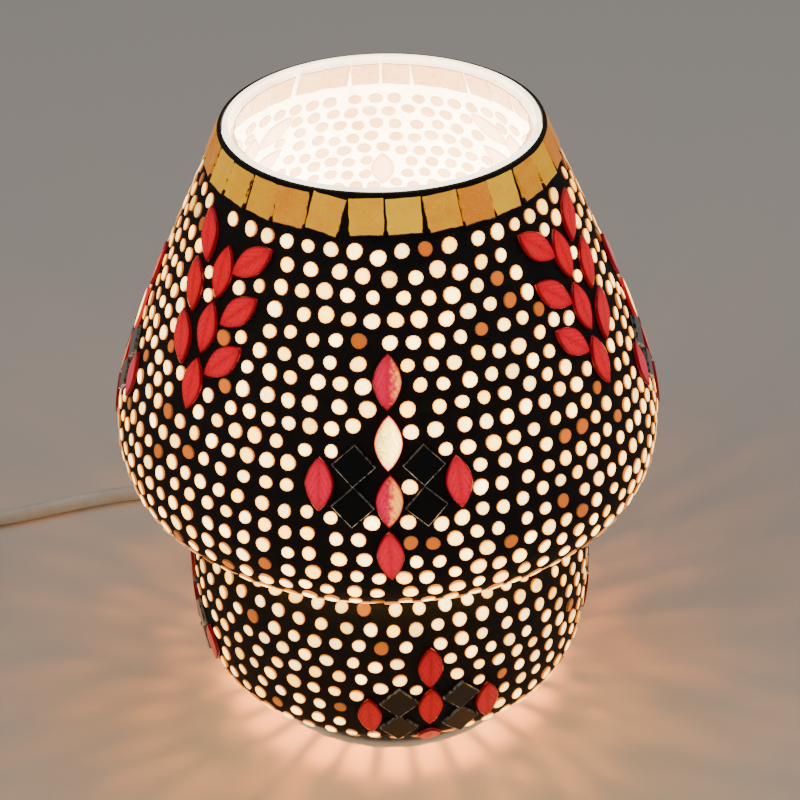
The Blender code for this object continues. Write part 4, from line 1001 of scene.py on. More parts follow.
@dataclass
class DotField:
    """Cream glass dots in loose rows on a surface, kept clear of the pieces already set."""

    surface: TurnedSurface
    low: float
    high: float
    seed: int
    pitch: float = 7.5
    across_mm: float = 4.5
    thick: float = 0.95
    rounds: int = 28

    def spread(self, leaves: Laid, mirrors: Laid) -> tuple[np.ndarray, np.ndarray]:
        """Finds the dots' places.

        Rows first, then each dot is pushed from its neighbours and from the pieces.

        Args:
            leaves: Leaves already set.
            mirrors: Mirrors already set.

        Returns:
            Length along the profile and angle of each dot.
        """
        rng = np.random.default_rng(self.seed)
        first, last = (self.surface.length_at(h) for h in (self.low, self.high))
        rows = int(round((last - first) / (self.pitch * 0.9)))
        length, angle = [], []
        for row in range(rows + 1):
            at = first + (last - first) * row / rows
            radius = float(np.interp(at, self.surface.along, self.surface.curve[:, 0]))
            count = int(round(2 * math.pi * radius / self.pitch))
            turn = (np.arange(count) + rng.uniform()) * 2 * math.pi / count
            length.append(at + rng.normal(0, 1.1, count))
            angle.append(turn + rng.normal(0, 1.1, count) / radius)
        length, angle = np.concatenate(length), np.concatenate(angle)
        blocks, reach = [], []
        for laid, spots in ((leaves, [(0, -0.47, 0.6), (0, -0.24, 2.9), (0, 0, 4.0), (0, 0.24, 2.9), (0,
            0.47, 0.6)]),
                            (mirrors, [(0, 0, 4.3), (-0.36, -0.36, 1.3), (0.36, -0.36, 1.3), (-0.36, 0.36,
                                                                                              1.3),
                                       (0.36, 0.36, 1.3)])):
            for x, y, size in spots:
                blocks.append(laid.points + laid.across * laid.size[:, :1] * x + laid.up * laid.size[:,
                                                                                                     1:2] * y)
                reach.append(np.full(len(laid.points), size + self.across_mm / 2 + 0.9))
        blocks, reach = np.concatenate(blocks), np.concatenate(reach)
        points, *_ = self.surface.lay(length, angle)
        clear = (np.linalg.norm(points[:, None] - blocks[None], axis=2) - reach[None]).min(axis=1) > -2.6
        length, angle = length[clear], angle[clear]
        for _ in range(self.rounds):
            points, across, up, _ = self.surface.lay(length, angle)
            push = np.zeros_like(points)
            for others, least, share in ((points, self.pitch * 0.93, 0.42), (blocks, reach[None], 0.9)):
                gap = points[:, None] - others[None]
                far = np.linalg.norm(gap, axis=2) + 1e-9
                near = np.clip(least - far, 0, None) * (far > 1e-6)
                push += share * (gap / far[..., None] * near[..., None]).sum(axis=1)
            push *= np.clip(1.6 / (np.linalg.norm(push, axis=1) + 1e-9), 0, 1)[:, None]
            radius = np.interp(length, self.surface.along, self.surface.curve[:, 0])
            length = np.clip(length + (push * up).sum(axis=1), first, last)
            angle = angle + (push * across).sum(axis=1) / radius
        points, *_ = self.surface.lay(length, angle)
        clear = (np.linalg.norm(points[:, None] - blocks[None], axis=2) - reach[None]).min(axis=1) > -0.2
        length, angle, points = length[clear], angle[clear], points[clear]
        kept: list[int] = []
        for index in rng.permutation(len(points)):
            if not kept or np.linalg.norm(points[kept] - points[index], axis=1).min() > self.across_mm + 0.55:
                kept.append(int(index))
        kept = np.sort(kept)
        return length[kept], angle[kept]

    def laid(self, leaves: Laid, mirrors: Laid, dim: float = 1.0) -> Laid:
        """The dots, ready to set.

        Args:
            leaves: Leaves already set.
            mirrors: Mirrors already set.
            dim: How brightly this surface is lit, against the shade.

        Returns:
            The dots.
        """
        length, angle = self.spread(leaves, mirrors)
        rng = np.random.default_rng(self.seed + 1)
        points, across, up, _ = self.surface.lay(length, angle, GROUT_BELOW + 0.45)
        count = len(points)
        round_to = 1 + rng.normal(0, 0.035, (count, 2))
        size = np.concatenate([self.across_mm * round_to, np.full((count, 1), self.thick)], axis=1)
        # Painted light: the dots glow brighter towards the lamp's front and a little dimmer near the lip.
        glow = (0.48 + 0.49 * painted_front_light(angle)) * dim + rng.normal(0, 0.06, count)
        high = np.clip((points[:, 2] - 185) / 30, 0, 1) * 0.12
        return Laid(points, across, up, size, rng.integers(0, 4, count), rng.uniform(0, 1, count),
                    np.clip(glow - high, 0.2, 1.05))


@dataclass
class MosaicGlass:
    """The blown glass with its grout jackets, tile bands, leaves, mirrors and dots.

    All of it rides on the glass.
    """

    segments: int = 144
    rim_tiles: int = 30
    foot_tiles: int = 28
    tile_gap: float = 1.0
    lean: float = 0.045
    rim_radius: float = 51.6
    rim_tile_height: float = 10.7
    rim_tile_sunk: float = 0.85
    loose_tile_at: float = 252.0
    loose_tile_lean: float = 0.16
    back_raised: float = 2.3
    back_height: float = 9.6
    foot_radius: float = 47.0
    foot_tile_at: float = 46.2
    foot_tile_height: float = 8.3
    foot_tile_middle: float = 9.5

    CROSS = [("petal", 0.0, 166.8, 0, 0.8), ("petal", 0.0, 150.3, 0, 1.0), ("petal", 0.0, 134.0, 0, 0.9),
             ("petal", 0.0, 117.6, 0, 0.35), ("petal", -20.6, 138.0, 0, 0.55), ("petal", 20.6, 138.0, 0, 0.4),
             ("mirror", -10.2, 143.9, 45, 0), ("mirror", -10.8, 132.2, 45, 0), ("mirror", 10.2, 143.9, 45, 0),
             ("mirror", 10.8, 132.2, 45, 0)]
    SPRIG = [("petal", 0.0, 154.0, 0, 0.1), ("petal", 0.0, 170.6, 0, 0.15), ("petal", 0.0, 186.6, 0, 0.05),
             ("petal", -10.2, 164.0, -25, 0.1), ("petal", -11.4, 179.0, -25, 0.0), ("petal", -11.2, 193.4,
                                                                                    -30, 0.1),
             ("petal", 9.8, 164.0, 45, 0.2), ("petal", 10.4, 178.6, 45, 0.15), ("petal", 10.0, 192.6, 45,
                                                                                0.1)]
    LOW_CROSS = [("petal", 0.0, 54.4, 0, 0.1), ("petal", 0.0, 37.2, 0, 0.0), ("half", 0.0, 22.6, 0, 0.1),
                 ("petal", -20.0, 34.0, 0, 0.05), ("petal", 20.0, 34.0, 0, 0.1), ("mirror", -10.4, 40.0, 45,
                                                                                  0),
                 ("mirror", -10.4, 28.4, 45, 0), ("mirror", 10.4, 40.0, 45, 0), ("mirror", 10.4, 28.4, 45, 0)]
    CROSS_TURNS = (0, 90, 180, 270)
    SPRIG_TURNS = ((-49, 1), (57, -1), (-131, -1), (131, 1))
    LOW_TURNS = (10, 100, 190, 280)

    def build(self) -> None:
        """Builds every piece."""
        setter = PieceSetter()
        dots = [CutPiece(Shape.DOT, seed, 0.1, 0.035).mesh(f"dot_{seed}") for seed in range(4)]
        backs = [CutPiece(Shape.DOT, seed, 0.1, 0.035).mesh(f"dot_back_{seed}", True) for seed in range(4)]
        leaf = [CutPiece(Shape.PETAL, 1, 0.1).mesh("leaf")]
        leaf_back = [CutPiece(Shape.PETAL, 1).mesh("leaf_back", True)]
        mirror = [CutPiece(Shape.MIRROR, 1, 0.04).mesh("mirror")]
        self.glass()
        self.jackets()
        high_leaves, high_mirrors, low_leaves, low_mirrors = self.motifs()
        dress = [("shade_leaves", high_leaves, leaf, LEAF, 0.02, 0.02, 0.05),
                 ("bowl_leaves", low_leaves, leaf, LEAF, 0.02, 0.02, 0.05),
                 ("shade_mirrors", high_mirrors, mirror, MIRROR, 0.02, 0.035, 0.04),
                 ("bowl_mirrors", low_mirrors, mirror, MIRROR, 0.02, 0.035, 0.04)]
        stands = {"shade_leaves": [f"shade_{kind}_{i}" for kind in ("cross", "sprig") for i in range(1, 5)],
                  "bowl_leaves": [f"bowl_cross_{i}" for i in range(1, 5)]}
        for name, laid, shapes, finish, *uneven in dress:
            mesh = setter.set(name, laid, shapes, finish, *uneven)
            piece(name, mesh, None, "glass", stands.get(name, ()))
        fields = [("shade_dots", DotField(SHADE, 83.5, 200.6, 3, 7.3), high_leaves, high_mirrors, 1.0),
                  ("bowl_dots", DotField(BOWL, 17.0, 75.5, 5, 7.9), low_leaves, low_mirrors, 0.86)]
        for name, dot_field, leaves, mirrors, dim in fields:
            laid = dot_field.laid(leaves, mirrors, dim)
            LOG.info("%s: %d dots", name, len(laid.points))
            piece(name, setter.set(name, laid, dots, DOT, 0.11, 0.07, 3.0), None, "glass")
            inside = laid.only(laid.points[:, 2] > (100 if name == "shade_dots" else 24))
            mesh = setter.set(f"{name}_backs", inside.inside(GLASS_BELOW + GLASS_THICK - GROUT_BELOW - 0.37,
                                                             1.05),
                              backs, DOT_BACK, 0.05, 0.0, 3.0)
            piece(f"{name}_backs", mesh, None, "glass")
        mesh = setter.set("leaf_backs", Laid.joined([high_leaves, low_leaves]).inside(4.22, 1.0), leaf_back,
                          LEAF_BACK, 0.02, 0.0, 0.0)
        piece("leaf_backs", mesh, None, "glass")
        self.bands(setter)

    def motifs(self) -> tuple[Laid, Laid, Laid, Laid]:
        """Leaves and mirrors of the shade, then of the bowl."""
        cross, sprig, low = Motif(SHADE, self.CROSS), Motif(SHADE, self.SPRIG), Motif(BOWL, self.LOW_CROSS)
        high = [cross.laid(turn) for turn in self.CROSS_TURNS]
        sprigs = [sprig.laid(turn, flip) for turn, flip in self.SPRIG_TURNS]
        under = [low.laid(turn) for turn in self.LOW_TURNS]
        under_leaves = Laid.joined([leaves for leaves, _ in under])
        # Painted light: the bowl's leaves glow dimmer than the shade's.
        under_leaves.glow *= 0.8
        return (Laid.joined([leaves for leaves, _ in high + sprigs]), Laid.joined([mirrors for _,
                                                                                   mirrors in high]),
                under_leaves, Laid.joined([mirrors for _, mirrors in under]))

    def glass(self) -> None:
        """The blown glass in one piece, with the arch for the flex cut in the back of its foot."""
        deep = GLASS_BELOW + GLASS_THICK
        out = [(FOOT_OUTER, FOOT_BOTTOM + 0.4), (FOOT_OUTER, 15.6)]
        out += [p for p in BOWL.shell(GLASS_BELOW, 0, 79.6) if p[0] > 50.0]
        out += SHADE.shell(GLASS_BELOW, 81.2, 209.0) + [(LIP_OUTER, 213.4), (LIP_OUTER, LIP_TOP - 0.7)]
        out += [(LIP_OUTER - 0.3, LIP_TOP - 0.15), (LIP_OUTER - 0.9, LIP_TOP), (LIP_INNER + 0.3,
                                                                                LIP_TOP - 0.15)]
        inner = [(FOOT_OUTER - GLASS_THICK + 0.6, FOOT_BOTTOM), (FOOT_OUTER - GLASS_THICK, FOOT_BOTTOM + 0.6),
                 (FOOT_OUTER - GLASS_THICK, 17.4)]
        inner += [p for p in BOWL.shell(deep, 0, 77.0) if p[0] > 49.0] + [(55.2, 78.8), (55.2, 83.4)]
        inner += SHADE.shell(deep, 83.6, 209.0) + [(LIP_INNER, 212.6), (LIP_INNER, LIP_TOP - 0.7)]
        mesh = mesh_of("glass_wall", *turned(out + inner[::-1], self.segments))
        arch = [(5.3, 2.0), (5.3, 10.4), (3.9, 12.8), (0.3, 13.9), (-3.9, 12.8), (-5.3, 10.4), (-5.3, 2.0)]
        cutter = bpy.data.objects.new("arch", mesh_of("arch", *lofted([[(x, y, z) for x, z in arch]
                                                                       for y in (36.0, 50.0)]), False))
        made = bpy.data.objects.new("glass_wall_cut", mesh)
        for obj in (cutter, made):
            bpy.context.scene.collection.objects.link(obj)
        cut = made.modifiers.new("arch", "BOOLEAN")
        cut.operation, cut.solver, cut.object = "DIFFERENCE", "EXACT", cutter
        graph = bpy.context.evaluated_depsgraph_get()
        wall = bpy.data.meshes.new_from_object(made.evaluated_get(graph))
        for obj in (cutter, made):
            bpy.data.objects.remove(obj, do_unlink=True)
        heights = np.array([v.co.z / MM for v in wall.vertices])
        glow = 1.0 - 0.35 * np.clip((heights - 125) / 91, 0, 1) ** 1.3
        glow *= 0.55 + 0.45 * np.clip((heights - 5) / 30, 0, 1)
        wall.attributes.new("glow", "FLOAT", "POINT").data.foreach_set("value", glow)
        piece("glass_wall", wall, GLASS, "glass", ["glass_body"])

    def jackets(self) -> None:
        """Cement grout over the shade and the bowl, and the thin line of grout round the lip."""
        inside = GROUT_BELOW + GROUT_THICK
        for name, surface, top in (("shade", SHADE, RIM_LOW - 0.4), ("bowl", BOWL, 79.6)):
            out = [p for p in surface.shell(GROUT_BELOW, 0, top, 1) if p[0] > 48.8]
            under = [p for p in surface.shell(inside, 0, top) if p[0] > 48.8]
            mesh = mesh_of(f"{name}_cement", *turned(out + under[::-1], 216))
            rng = np.random.default_rng(11)
            waves = rng.uniform(0, 2 * np.pi, 6)
            for vertex in mesh.vertices:
                x, y, z = vertex.co / MM
                angle = math.atan2(y, x)
                rough = sum(math.sin(k * 7 * angle + z * (0.35 + 0.11 * k) + waves[k]) for k in range(6)) / 6
                vertex.co += Vector((x, y, 0)).normalized() * rough * 0.12 * MM
            piece(f"{name}_cement", mesh, GROUT, "glass", [f"{name}_grout"])
        waist = [(57.7, 77.9), (58.9, 78.7), (59.3, 80.4), (58.9, 81.9), (57.7, 83.0)]
        piece("waist_cement", mesh_of("waist_cement", *turned(waist, self.segments)), GROUT, "glass")
        line = [(48.75, 212.6), (49.9, 212.9), (50.1, 214.6), (49.7, 215.4), (48.75, 215.5)]
        piece("lip_cement", mesh_of("lip_cement", *turned(line, self.segments)), GROUT, "glass")
        band = SHADE.shell(0.7, RIM_LOW - 1.5, RIM_HIGH - 0.3, 1) + SHADE.shell(2.3, RIM_LOW - 0.4, 212.8,
                                                                                1)[::-1]
        bed = mesh_of("rim_cement", *turned(band, self.segments))
        piece("rim_cement", bed, GROUT, "glass")
        foot = [(45.3, 5.3), (46.1, 5.3), (46.3, 14.3), (45.3, 14.3)]
        spans = [math.pi / 2 + 0.125 + (2 * math.pi - 0.25) * i / 96 for i in range(97)]
        rings = [[(r * math.cos(a), r * math.sin(a), z) for r, z in foot] for a in spans]
        piece("foot_cement", mesh_of("foot_cement", *lofted(rings)), GROUT, "glass")

    def bands(self, setter: PieceSetter) -> None:
        """The gold foil tiles round the lip and round the foot.

        Args:
            setter: Sets the pieces.
        """
        tiles = [CutPiece(Shape.TILE, seed, 0.07, 0.014).mesh(f"tile_{seed}") for seed in (1, 2, 3, 4)]
        thin = [CutPiece(Shape.TILE, 1, 0.07, 0.02).mesh("tile_back", True)]
        rng = np.random.default_rng(21)
        angle = math.pi / 2 + (np.arange(self.rim_tiles) + 0.5) * 2 * math.pi / self.rim_tiles
        angle = angle + rng.normal(0, 0.006, self.rim_tiles)
        length = np.full(self.rim_tiles, SHADE.length_at((RIM_LOW + RIM_HIGH) / 2))
        points, across, up, _ = SHADE.lay(length, angle, self.rim_tile_sunk)
        lean = rng.normal(0, self.lean, self.rim_tiles)
        loose = np.argmin(np.abs(np.mod(angle, 2 * math.pi) - math.radians(self.loose_tile_at)))
        lean[loose] = self.loose_tile_lean
        width = 2 * math.pi * self.rim_radius / self.rim_tiles - self.tile_gap
        size = np.tile([width, self.rim_tile_height, 1.0], (self.rim_tiles, 1))
        size[:, 0] += rng.normal(0, 0.22, self.rim_tiles)
        size[:, 1] += rng.normal(0, 0.15, self.rim_tiles)
        # Painted light: the rim tiles glow brighter towards the lamp's front.
        glow = 0.4 + 0.6 * painted_front_light(angle)
        rim = Laid(points, across * np.cos(lean)[:, None] - up * np.sin(lean)[:, None],
                   across * np.sin(lean)[:, None] + up * np.cos(lean)[:, None], size,
                   rng.integers(0, 4, self.rim_tiles), rng.uniform(0, 1, self.rim_tiles), glow)
        piece("rim_tiles", setter.set("rim_tiles", rim, tiles, TILE, 0.01, 0.03, 0.0), None, "glass",
              ["rim_tile_band"])
        back = rim.only(np.ones(self.rim_tiles, bool))
        back.shape = np.zeros(self.rim_tiles, int)
        back = back.inside(GLASS_BELOW + GLASS_THICK - self.rim_tile_sunk + 0.12, 0.93)
        back.points += back.up * self.back_raised
        back.size[:, 1] = self.back_height
        piece("rim_tile_backs", setter.set("rim_tile_backs", back, thin, TILE_BACK, 0.01, 0.0, 0.0), None,
              "glass")
        count = self.foot_tiles
        angle = math.pi / 2 + np.arange(1, count) * 2 * math.pi / count
        none = np.zeros(count - 1)
        points = np.stack([self.foot_tile_at * np.cos(angle), self.foot_tile_at * np.sin(angle),
                           none + self.foot_tile_middle], axis=1)
        across = np.stack([-np.sin(angle), np.cos(angle), none], axis=1)
        up = np.stack([none, none, none + 1], axis=1)
        width = 2 * math.pi * self.foot_radius / count - self.tile_gap
        size = np.tile([width, self.foot_tile_height, 1.0], (count - 1, 1))
        # Painted light: the foot tiles glow brighter towards the lamp's front.
        foot = Laid(points, across, up, size, rng.integers(0, 4, count - 1), rng.uniform(0, 1, count - 1),
                    0.5 + 0.5 * painted_front_light(angle))
        piece("foot_tiles", setter.set("foot_tiles", foot, tiles, TILE, 0.015, 0.02, 0.03), None, "glass",
              ["foot_tile_band"])


# ------------------------------------------------------------------------------------------- base and holder
@dataclass
class SteelBase:
    """Plate with a rolled rim, rubber pads, gasket, clips and rivets."""

    radius: float = 46.2
    low: float = 2.0
    high: float = 4.0
    pad_circle: float = 36.0
    pad_radius: float = 4.5
    pad_height: float = 1.7
    pad_angles: tuple[int, ...] = (270, 30, 150)

    def build(self) -> None:
        """Dresses the plate and its small parts, and makes finer pads."""
        redress(STEEL, "base_plate", "flex_bracket")
        redress(RUBBER, "seat_gasket")
        redress(SPRING, "retaining_clip_1", "retaining_clip_2", "retaining_clip_3")
        redress(ZINC, "clip_rivet_1", "clip_rivet_2", "clip_rivet_3", "bracket_rivet")
        for index, degrees in enumerate(self.pad_angles, 1):
            self.pad(index, math.radians(degrees) + 0.42)

    def pad(self, index: int, angle: float) -> None:
        """One stuck-on rubber pad, with a domed edge and a shallow dish under it.

        Args:
            index: Its number.
            angle: Its place round the plate.
        """
        r, h = self.pad_radius, self.pad_height
        bend = [(r - 0.7 + 0.7 * math.sin(a), 0.7 - 0.7 * math.cos(a)) for a in np.linspace(0, math.pi / 2,
                                                                                            6)]
        profile = [(0.0, 0.25), (1.6, 0.2), (2.4, 0.0), *bend, (r, h - 0.2), (r - 0.2, h), (0.0, h)]
        place = Matrix.Translation((self.pad_circle * math.cos(angle), self.pad_circle * math.sin(angle),
                                    0.0))
        mesh = mesh_of(f"pad_{index}", *turned(profile, 40, False, place))
        piece(f"pad_{index}", mesh, RUBBER, "base", [f"rubber_foot_{index}"])


@dataclass
class LampHolder:
    """E14 holder with its brass shell, contact, screws, wires and the flex's gland."""

    exit_height: float = 9.6

    def build(self) -> None:
        """Dresses the holder's parts and makes the ribbed gland."""
        redress(PHENOLIC, "holder_base", "holder_sleeve")
        redress(BRASS, "screw_shell", "centre_contact")
        redress(ZINC, "holder_screw_1", "holder_screw_2")
        redress(BROWN, "live_wire")
        redress(BLUE, "neutral_wire")
        profile = [(0.0, 32.4), (3.7, 32.4), (4.1, 32.8), (4.1, 34.7), (3.9, 34.9), (3.25, 34.9), (3.25,
                                                                                                   36.9),
                   (3.9, 36.9), (4.1, 37.2), (4.1, 39.4)]
        for rib in range(5):
            at, r = 40.2 + rib * 2.4, 3.95 - rib * 0.13
            profile += [(r, at), (r, at + 1.2), (r - 0.45, at + 1.5), (r - 0.45, at + 2.1)]
        profile += [(3.35, 52.6), (3.05, 53.6), (0.0, 53.6)]
        place = Matrix.Translation((0.0, 0.0, self.exit_height)) @ Matrix.Rotation(math.radians(-90), 4, "X")
        mesh = mesh_of("gland", *turned(profile, 36, False, place))
        piece("gland", mesh, PVC, "base", ["flex_gland"])


@dataclass
class Bulb:
    """Golf-ball bulb with an E14 cap, alight."""

    radius: float = 22.5
    centre: float = 68.5
    wall: float = 0.9

    def build(self) -> None:
        """Makes the bulb's glass, and dresses its cap, stem and filament."""
        angles = np.radians(np.linspace(-54, 90, 34))
        out = [(self.radius * math.cos(a), self.centre + self.radius * math.sin(a)) for a in angles]
        out[-1] = (0.0, out[-1][1])
        neck = [tuple(p) for p in smooth_path([(6.8, 37.4), (6.9, 40.2), (8.4, 44.0), (11.4, 48.0)], 1.2)]
        inside = self.radius - self.wall
        inner = [(inside * math.cos(a), self.centre + inside * math.sin(a)) for a in angles[::-1]]
        inner[0] = (0.0, inner[0][1])
        neck_in = [tuple(p) for p in smooth_path([(10.5, 48.4), (7.5, 44.4), (6.0, 40.2), (5.9, 37.4)], 1.2)]
        points, faces = turned(neck + out[1:], 72, False)
        more, more_faces = turned(inner[:-1] + neck_in, 72, False)
        shift, last = len(points), len(points) + len(more) - 72
        faces += [[i + shift for i in face] for face in more_faces]
        faces += [[i, (i + 1) % 72, last + (i + 1) % 72, last + i] for i in range(72)]
        piece("bulb_envelope", mesh_of("bulb_envelope", points + more, faces), BULB, "bulb",
              ["bulb_glass"])
        redress(NICKEL, "bulb_cap", "cap_contact")
        redress(PHENOLIC, "cap_insulator")
        redress(STEM, "bulb_stem")
        redress(TUNGSTEN, "bulb_filament")


# ------------------------------------------------------------------------------------------- flex
@dataclass
class Coil:
    """A neat coil of flex lying on the table: turns beside and on each other, wound inwards and up."""

    centre: tuple[float, float] = (-234.1, -2.0)
    levels: tuple[tuple[float, float], ...] = ((39.0, 3.1), (33.0, 3.1), (27.0, 3.1), (30.0, 8.4), (36.0,
                                                                                                    8.4),
                                               (33.0, 13.6))
    start: float = 180.0
    last: tuple[tuple[float, float, float], ...] = ((2390.0, 37.0, 13.8), (2425.0, 41.3, 11.0), (2449.0,
                                                                                                 44.6, 7.6),
                                                    (2466.0, 46.6, 5.8))

    def point(self, degrees: float, radius: float, height: float) -> tuple[float, float, float]:
        """A point at an angle and a distance from the coil's centre.

        Args:
            degrees: The angle.
            radius: The distance.
            height: Its height.

        Returns:
            The point.
        """
        angle = math.radians(degrees)
        return self.centre[0] + radius * math.cos(angle), self.centre[1] + radius * math.sin(angle), height

    def path(self, per_turn: int = 20) -> np.ndarray:
        """The coil's centreline.

        Args:
            per_turn: Points in each turn.

        Returns:
            Its points.
        """
        knots = [(self.start, 45.6, 3.1)]
        for level, (radius, height) in enumerate(self.levels):
            begin = self.start + 45 + 360 * level
            knots += [(begin, radius, height), (begin + 306, radius, height)]
        knots += self.last
        at = np.arange(self.start, knots[-1][0] + 1, 360 / per_turn)
        table = np.array(knots)
        share = [np.clip((at - a[0]) / (b[0] - a[0]), 0, 1) for a, b in zip(table, table[1:])]
        radius, height = np.full(len(at), table[0, 1]), np.full(len(at), table[0, 2])
        for s, a, b in zip(share, table, table[1:]):
            soft = s * s * (3 - 2 * s)
            radius += soft * (b[1] - a[1])
            height += soft * (b[2] - a[2])
        radius /= (2 + math.cos(2 * math.pi / per_turn)) / 3
        angle = np.radians(at)
        return np.stack([self.centre[0] + radius * np.cos(angle), self.centre[1] + radius * np.sin(angle),
                         height], 1)


@dataclass
class Flex:
    """White two-core flex: from the gland to the switch, then by a tied coil to the plug."""

    diameter: float = 6.0
    exit: tuple[float, float, float] = (0.0, 53.8, 9.6)
    switch_start: tuple[float, float] = (-186.0, 73.4)
    heading: float = 197.0
    switch_length: float = 60.0
    switch_width: float = 25.0
    plug_start: tuple[float, float, float] = (-175.4, 0.2, 7.4)

    @property
    def rest(self) -> float:
        """Height of the centreline where the flex lies on the table."""
        return self.diameter / 2 + 0.1

    def beside(self, distance: float, height: float) -> tuple[float, float, float]:
        """A point on the switch's long axis.

        Args:
            distance: How far past the switch's first end.
            height: Its height.

        Returns:
            The point.
        """
        a = math.radians(self.heading)
        return (self.switch_start[0] + distance * math.cos(a),
                self.switch_start[1] + distance * math.sin(a), height)

    def line(self, name: str, points: Path, stands_for: Sequence[str]) -> bpy.types.Object:
        """One round flex along a path.

        Args:
            name: Name of the piece.
            points: Its path.
            stands_for: CAD nodes that it replaces.

        Returns:
            The piece.
        """
        curve = bpy.data.curves.new(name, "CURVE")
        curve.dimensions = "3D"
        curve.bevel_depth = self.diameter / 2 * MM
        curve.bevel_resolution = 5
        curve.use_fill_caps = True
        curve.resolution_u = 5
        spline = curve.splines.new("NURBS")
        spline.points.add(len(points) - 1)
        for spot, point in zip(spline.points, points):
            spot.co = (*(float(v) * MM for v in point), 1.0)
        spline.order_u = 4
        spline.use_endpoint_u = True
        return piece(name, curve, PVC, "base", stands_for)

    def build(self) -> None:
        rest, past = self.rest, self.switch_length
        knots = [self.exit, (0.0, 62.0, 8.9), (-2.0, 73.0, 6.0), (-10.0, 86.5, 3.8), (-24.0, 95.5, rest),
                 (-43.0, 100.0, rest), (-66.0, 101.0, rest), (-90.0, 99.5, rest), (-113.0, 96.0, rest),
                 (-137.0, 88.9, rest), self.beside(-36.0, rest), self.beside(-21.0, 4.0), self.beside(-12.0,
                                                                                                      6.6),
                 self.beside(-5.0, 8.0), self.beside(-0.4, 8.0)]
        lead = smooth_path(knots, 7.5)
        first = self.line("flex_to_switch", lead, ["cord_lead"])
        coil, plug_start = Coil(), self.plug_start
        tail = smooth_path([self.beside(past + 0.4, 8.0), self.beside(past + 5.0, 8.0),
                            self.beside(past + 12.0, 6.4), coil.point(124, 57.2, 3.9), coil.point(140, 54.2,
                                                                                                  rest),
                            coil.point(160, 50.0, rest), coil.point(180, 46.0, rest)], 7.5)
        turns = coil.path()
        end = smooth_path([tuple(turns[-1]), coil.point(320, 51.0, 3.2), (-186.5, -27.8, 3.3), (-180.2,
                                                                                                -19.4, 4.6),
                           (-176.6, -10.8, 6.6), (plug_start[0] - 0.1, plug_start[1] - 4.8, 7.4),
                           (plug_start[0], plug_start[1] - 0.6, 7.4)], 8.0)
        whole = np.concatenate([tail[:-1], turns, end[1:]])
        second = self.line("flex_to_plug", whole, ["cord_tail", "cord_coil", "cord_end"])
        reliefs = [self.relief("switch_relief_1", lead[::-1], 22.0), self.relief("switch_relief_2", whole,
                                                                                 22.0)]
        switch = Switch(self).build()
        plug = Plug(plug_start).build()
        tail_relief = self.relief("plug_relief", whole[::-1], 26.0)
        tie = self.tie(coil, 60.0)

    def relief(self, name: str, points: np.ndarray, length: float) -> bpy.types.Object:
        """A tapered, ribbed sleeve over the start of a path.

        Args:
            name: Name of the piece.
            points: The path, from the housing.
            length: Length of the sleeve.

        Returns:
            The piece.
        """
        path = smooth_path(points[:8], 0.8)
        reach = np.concatenate([[0.0], np.cumsum(np.linalg.norm(np.diff(path, axis=0), axis=1))])
        rings = []
        for at in np.arange(0.0, length, 0.7):
            share = at / length
            radius = self.diameter / 2 + 1.5 * (1 - share) + 0.25
            radius -= 0.45 * (math.sin(at * 2.2) > 0.2) * (0.1 < share < 0.9)
            spot = np.array([np.interp(at, reach, path[:, k]) for k in range(3)])
            ahead = np.array([np.interp(at + 0.8, reach, path[:, k]) for k in range(3)]) - spot
            ahead /= np.linalg.norm(ahead)
            side = np.cross(ahead, (0.0, 0.0, 1.0))
            side /= np.linalg.norm(side)
            lift = np.cross(side, ahead)
            rings.append([spot + radius * (side * math.cos(a) + lift * math.sin(a))
                          for a in np.linspace(0, 2 * math.pi, 20, endpoint=False)])
        low = min(p[2] for ring in rings for p in ring)
        if low < 0.05:
            rings = [[(p[0], p[1], max(p[2], 0.05)) for p in ring] for ring in rings]
        return piece(name, mesh_of(name, *lofted(rings)), ABS, "base")

    def tie(self, coil: Coil, degrees: float) -> bpy.types.Object:
        """A nylon tie round the coil's turns, with its head on top.

        Args:
            coil: The coil.
            degrees: Where round the coil.

        Returns:
            The piece.
        """
        out = [(22.9, 1.4), (23.5, 0.4), (25.0, 0.02), (40.5, 0.02), (42.2, 0.6), (42.9, 2.2), (42.2, 6.0),
               (40.2, 11.0), (37.0, 16.2), (35.2, 17.4), (30.6, 17.4), (28.6, 16.2), (25.6, 11.2), (23.2,
                                                                                                    5.0)]
        line = smooth_path([*out, out[0]], 1.0)[:-1]
        centre = line.mean(axis=0)
        inner = centre + (line - centre) * (1 - 0.9 / np.linalg.norm(line - centre, axis=1))[:, None]
        inner[:, 1] = np.maximum(inner[:, 1], 0.03)
        place = Matrix.Translation((*coil.centre, 0.0)) @ Matrix.Rotation(math.radians(degrees), 4, "Z")
        rings = []
        for (xo, zo), (xi, zi) in zip(line, inner):
            rings.append([(xo, -2.0, zo), (xo, 2.0, zo), (xi, 2.0, zi), (xi, -2.0, zi)])
        points, faces = lofted(rings, True, place)
        head = [rounded_rect(6.4, 5.6, 0.9, z) for z in (15.6, 17.9)] + [rounded_rect(5.6, 4.8, 0.9, 18.4)]
        head = [[(x + 33.0, y, z) for x, y, z in ring] for ring in head]
        more, more_faces = lofted(head, False, place)
        tail = [[(36.0, -2.0, 16.3), (36.0, 2.0, 16.3), (36.0, 2.0, 17.2), (36.0, -2.0, 17.2)],
                [(39.4, -1.9, 15.9), (39.4, 1.9, 15.9), (39.4, 1.9, 16.7), (39.4, -1.9, 16.7)]]
        last, last_faces = lofted(tail, False, place)
        shift = len(points)
        faces += [[i + shift for i in face] for face in more_faces]
        faces += [[i + shift + len(more) for i in face] for face in last_faces]
        return piece("coil_tie", mesh_of("coil_tie", [*points, *more, *last], faces), TIE, "base")


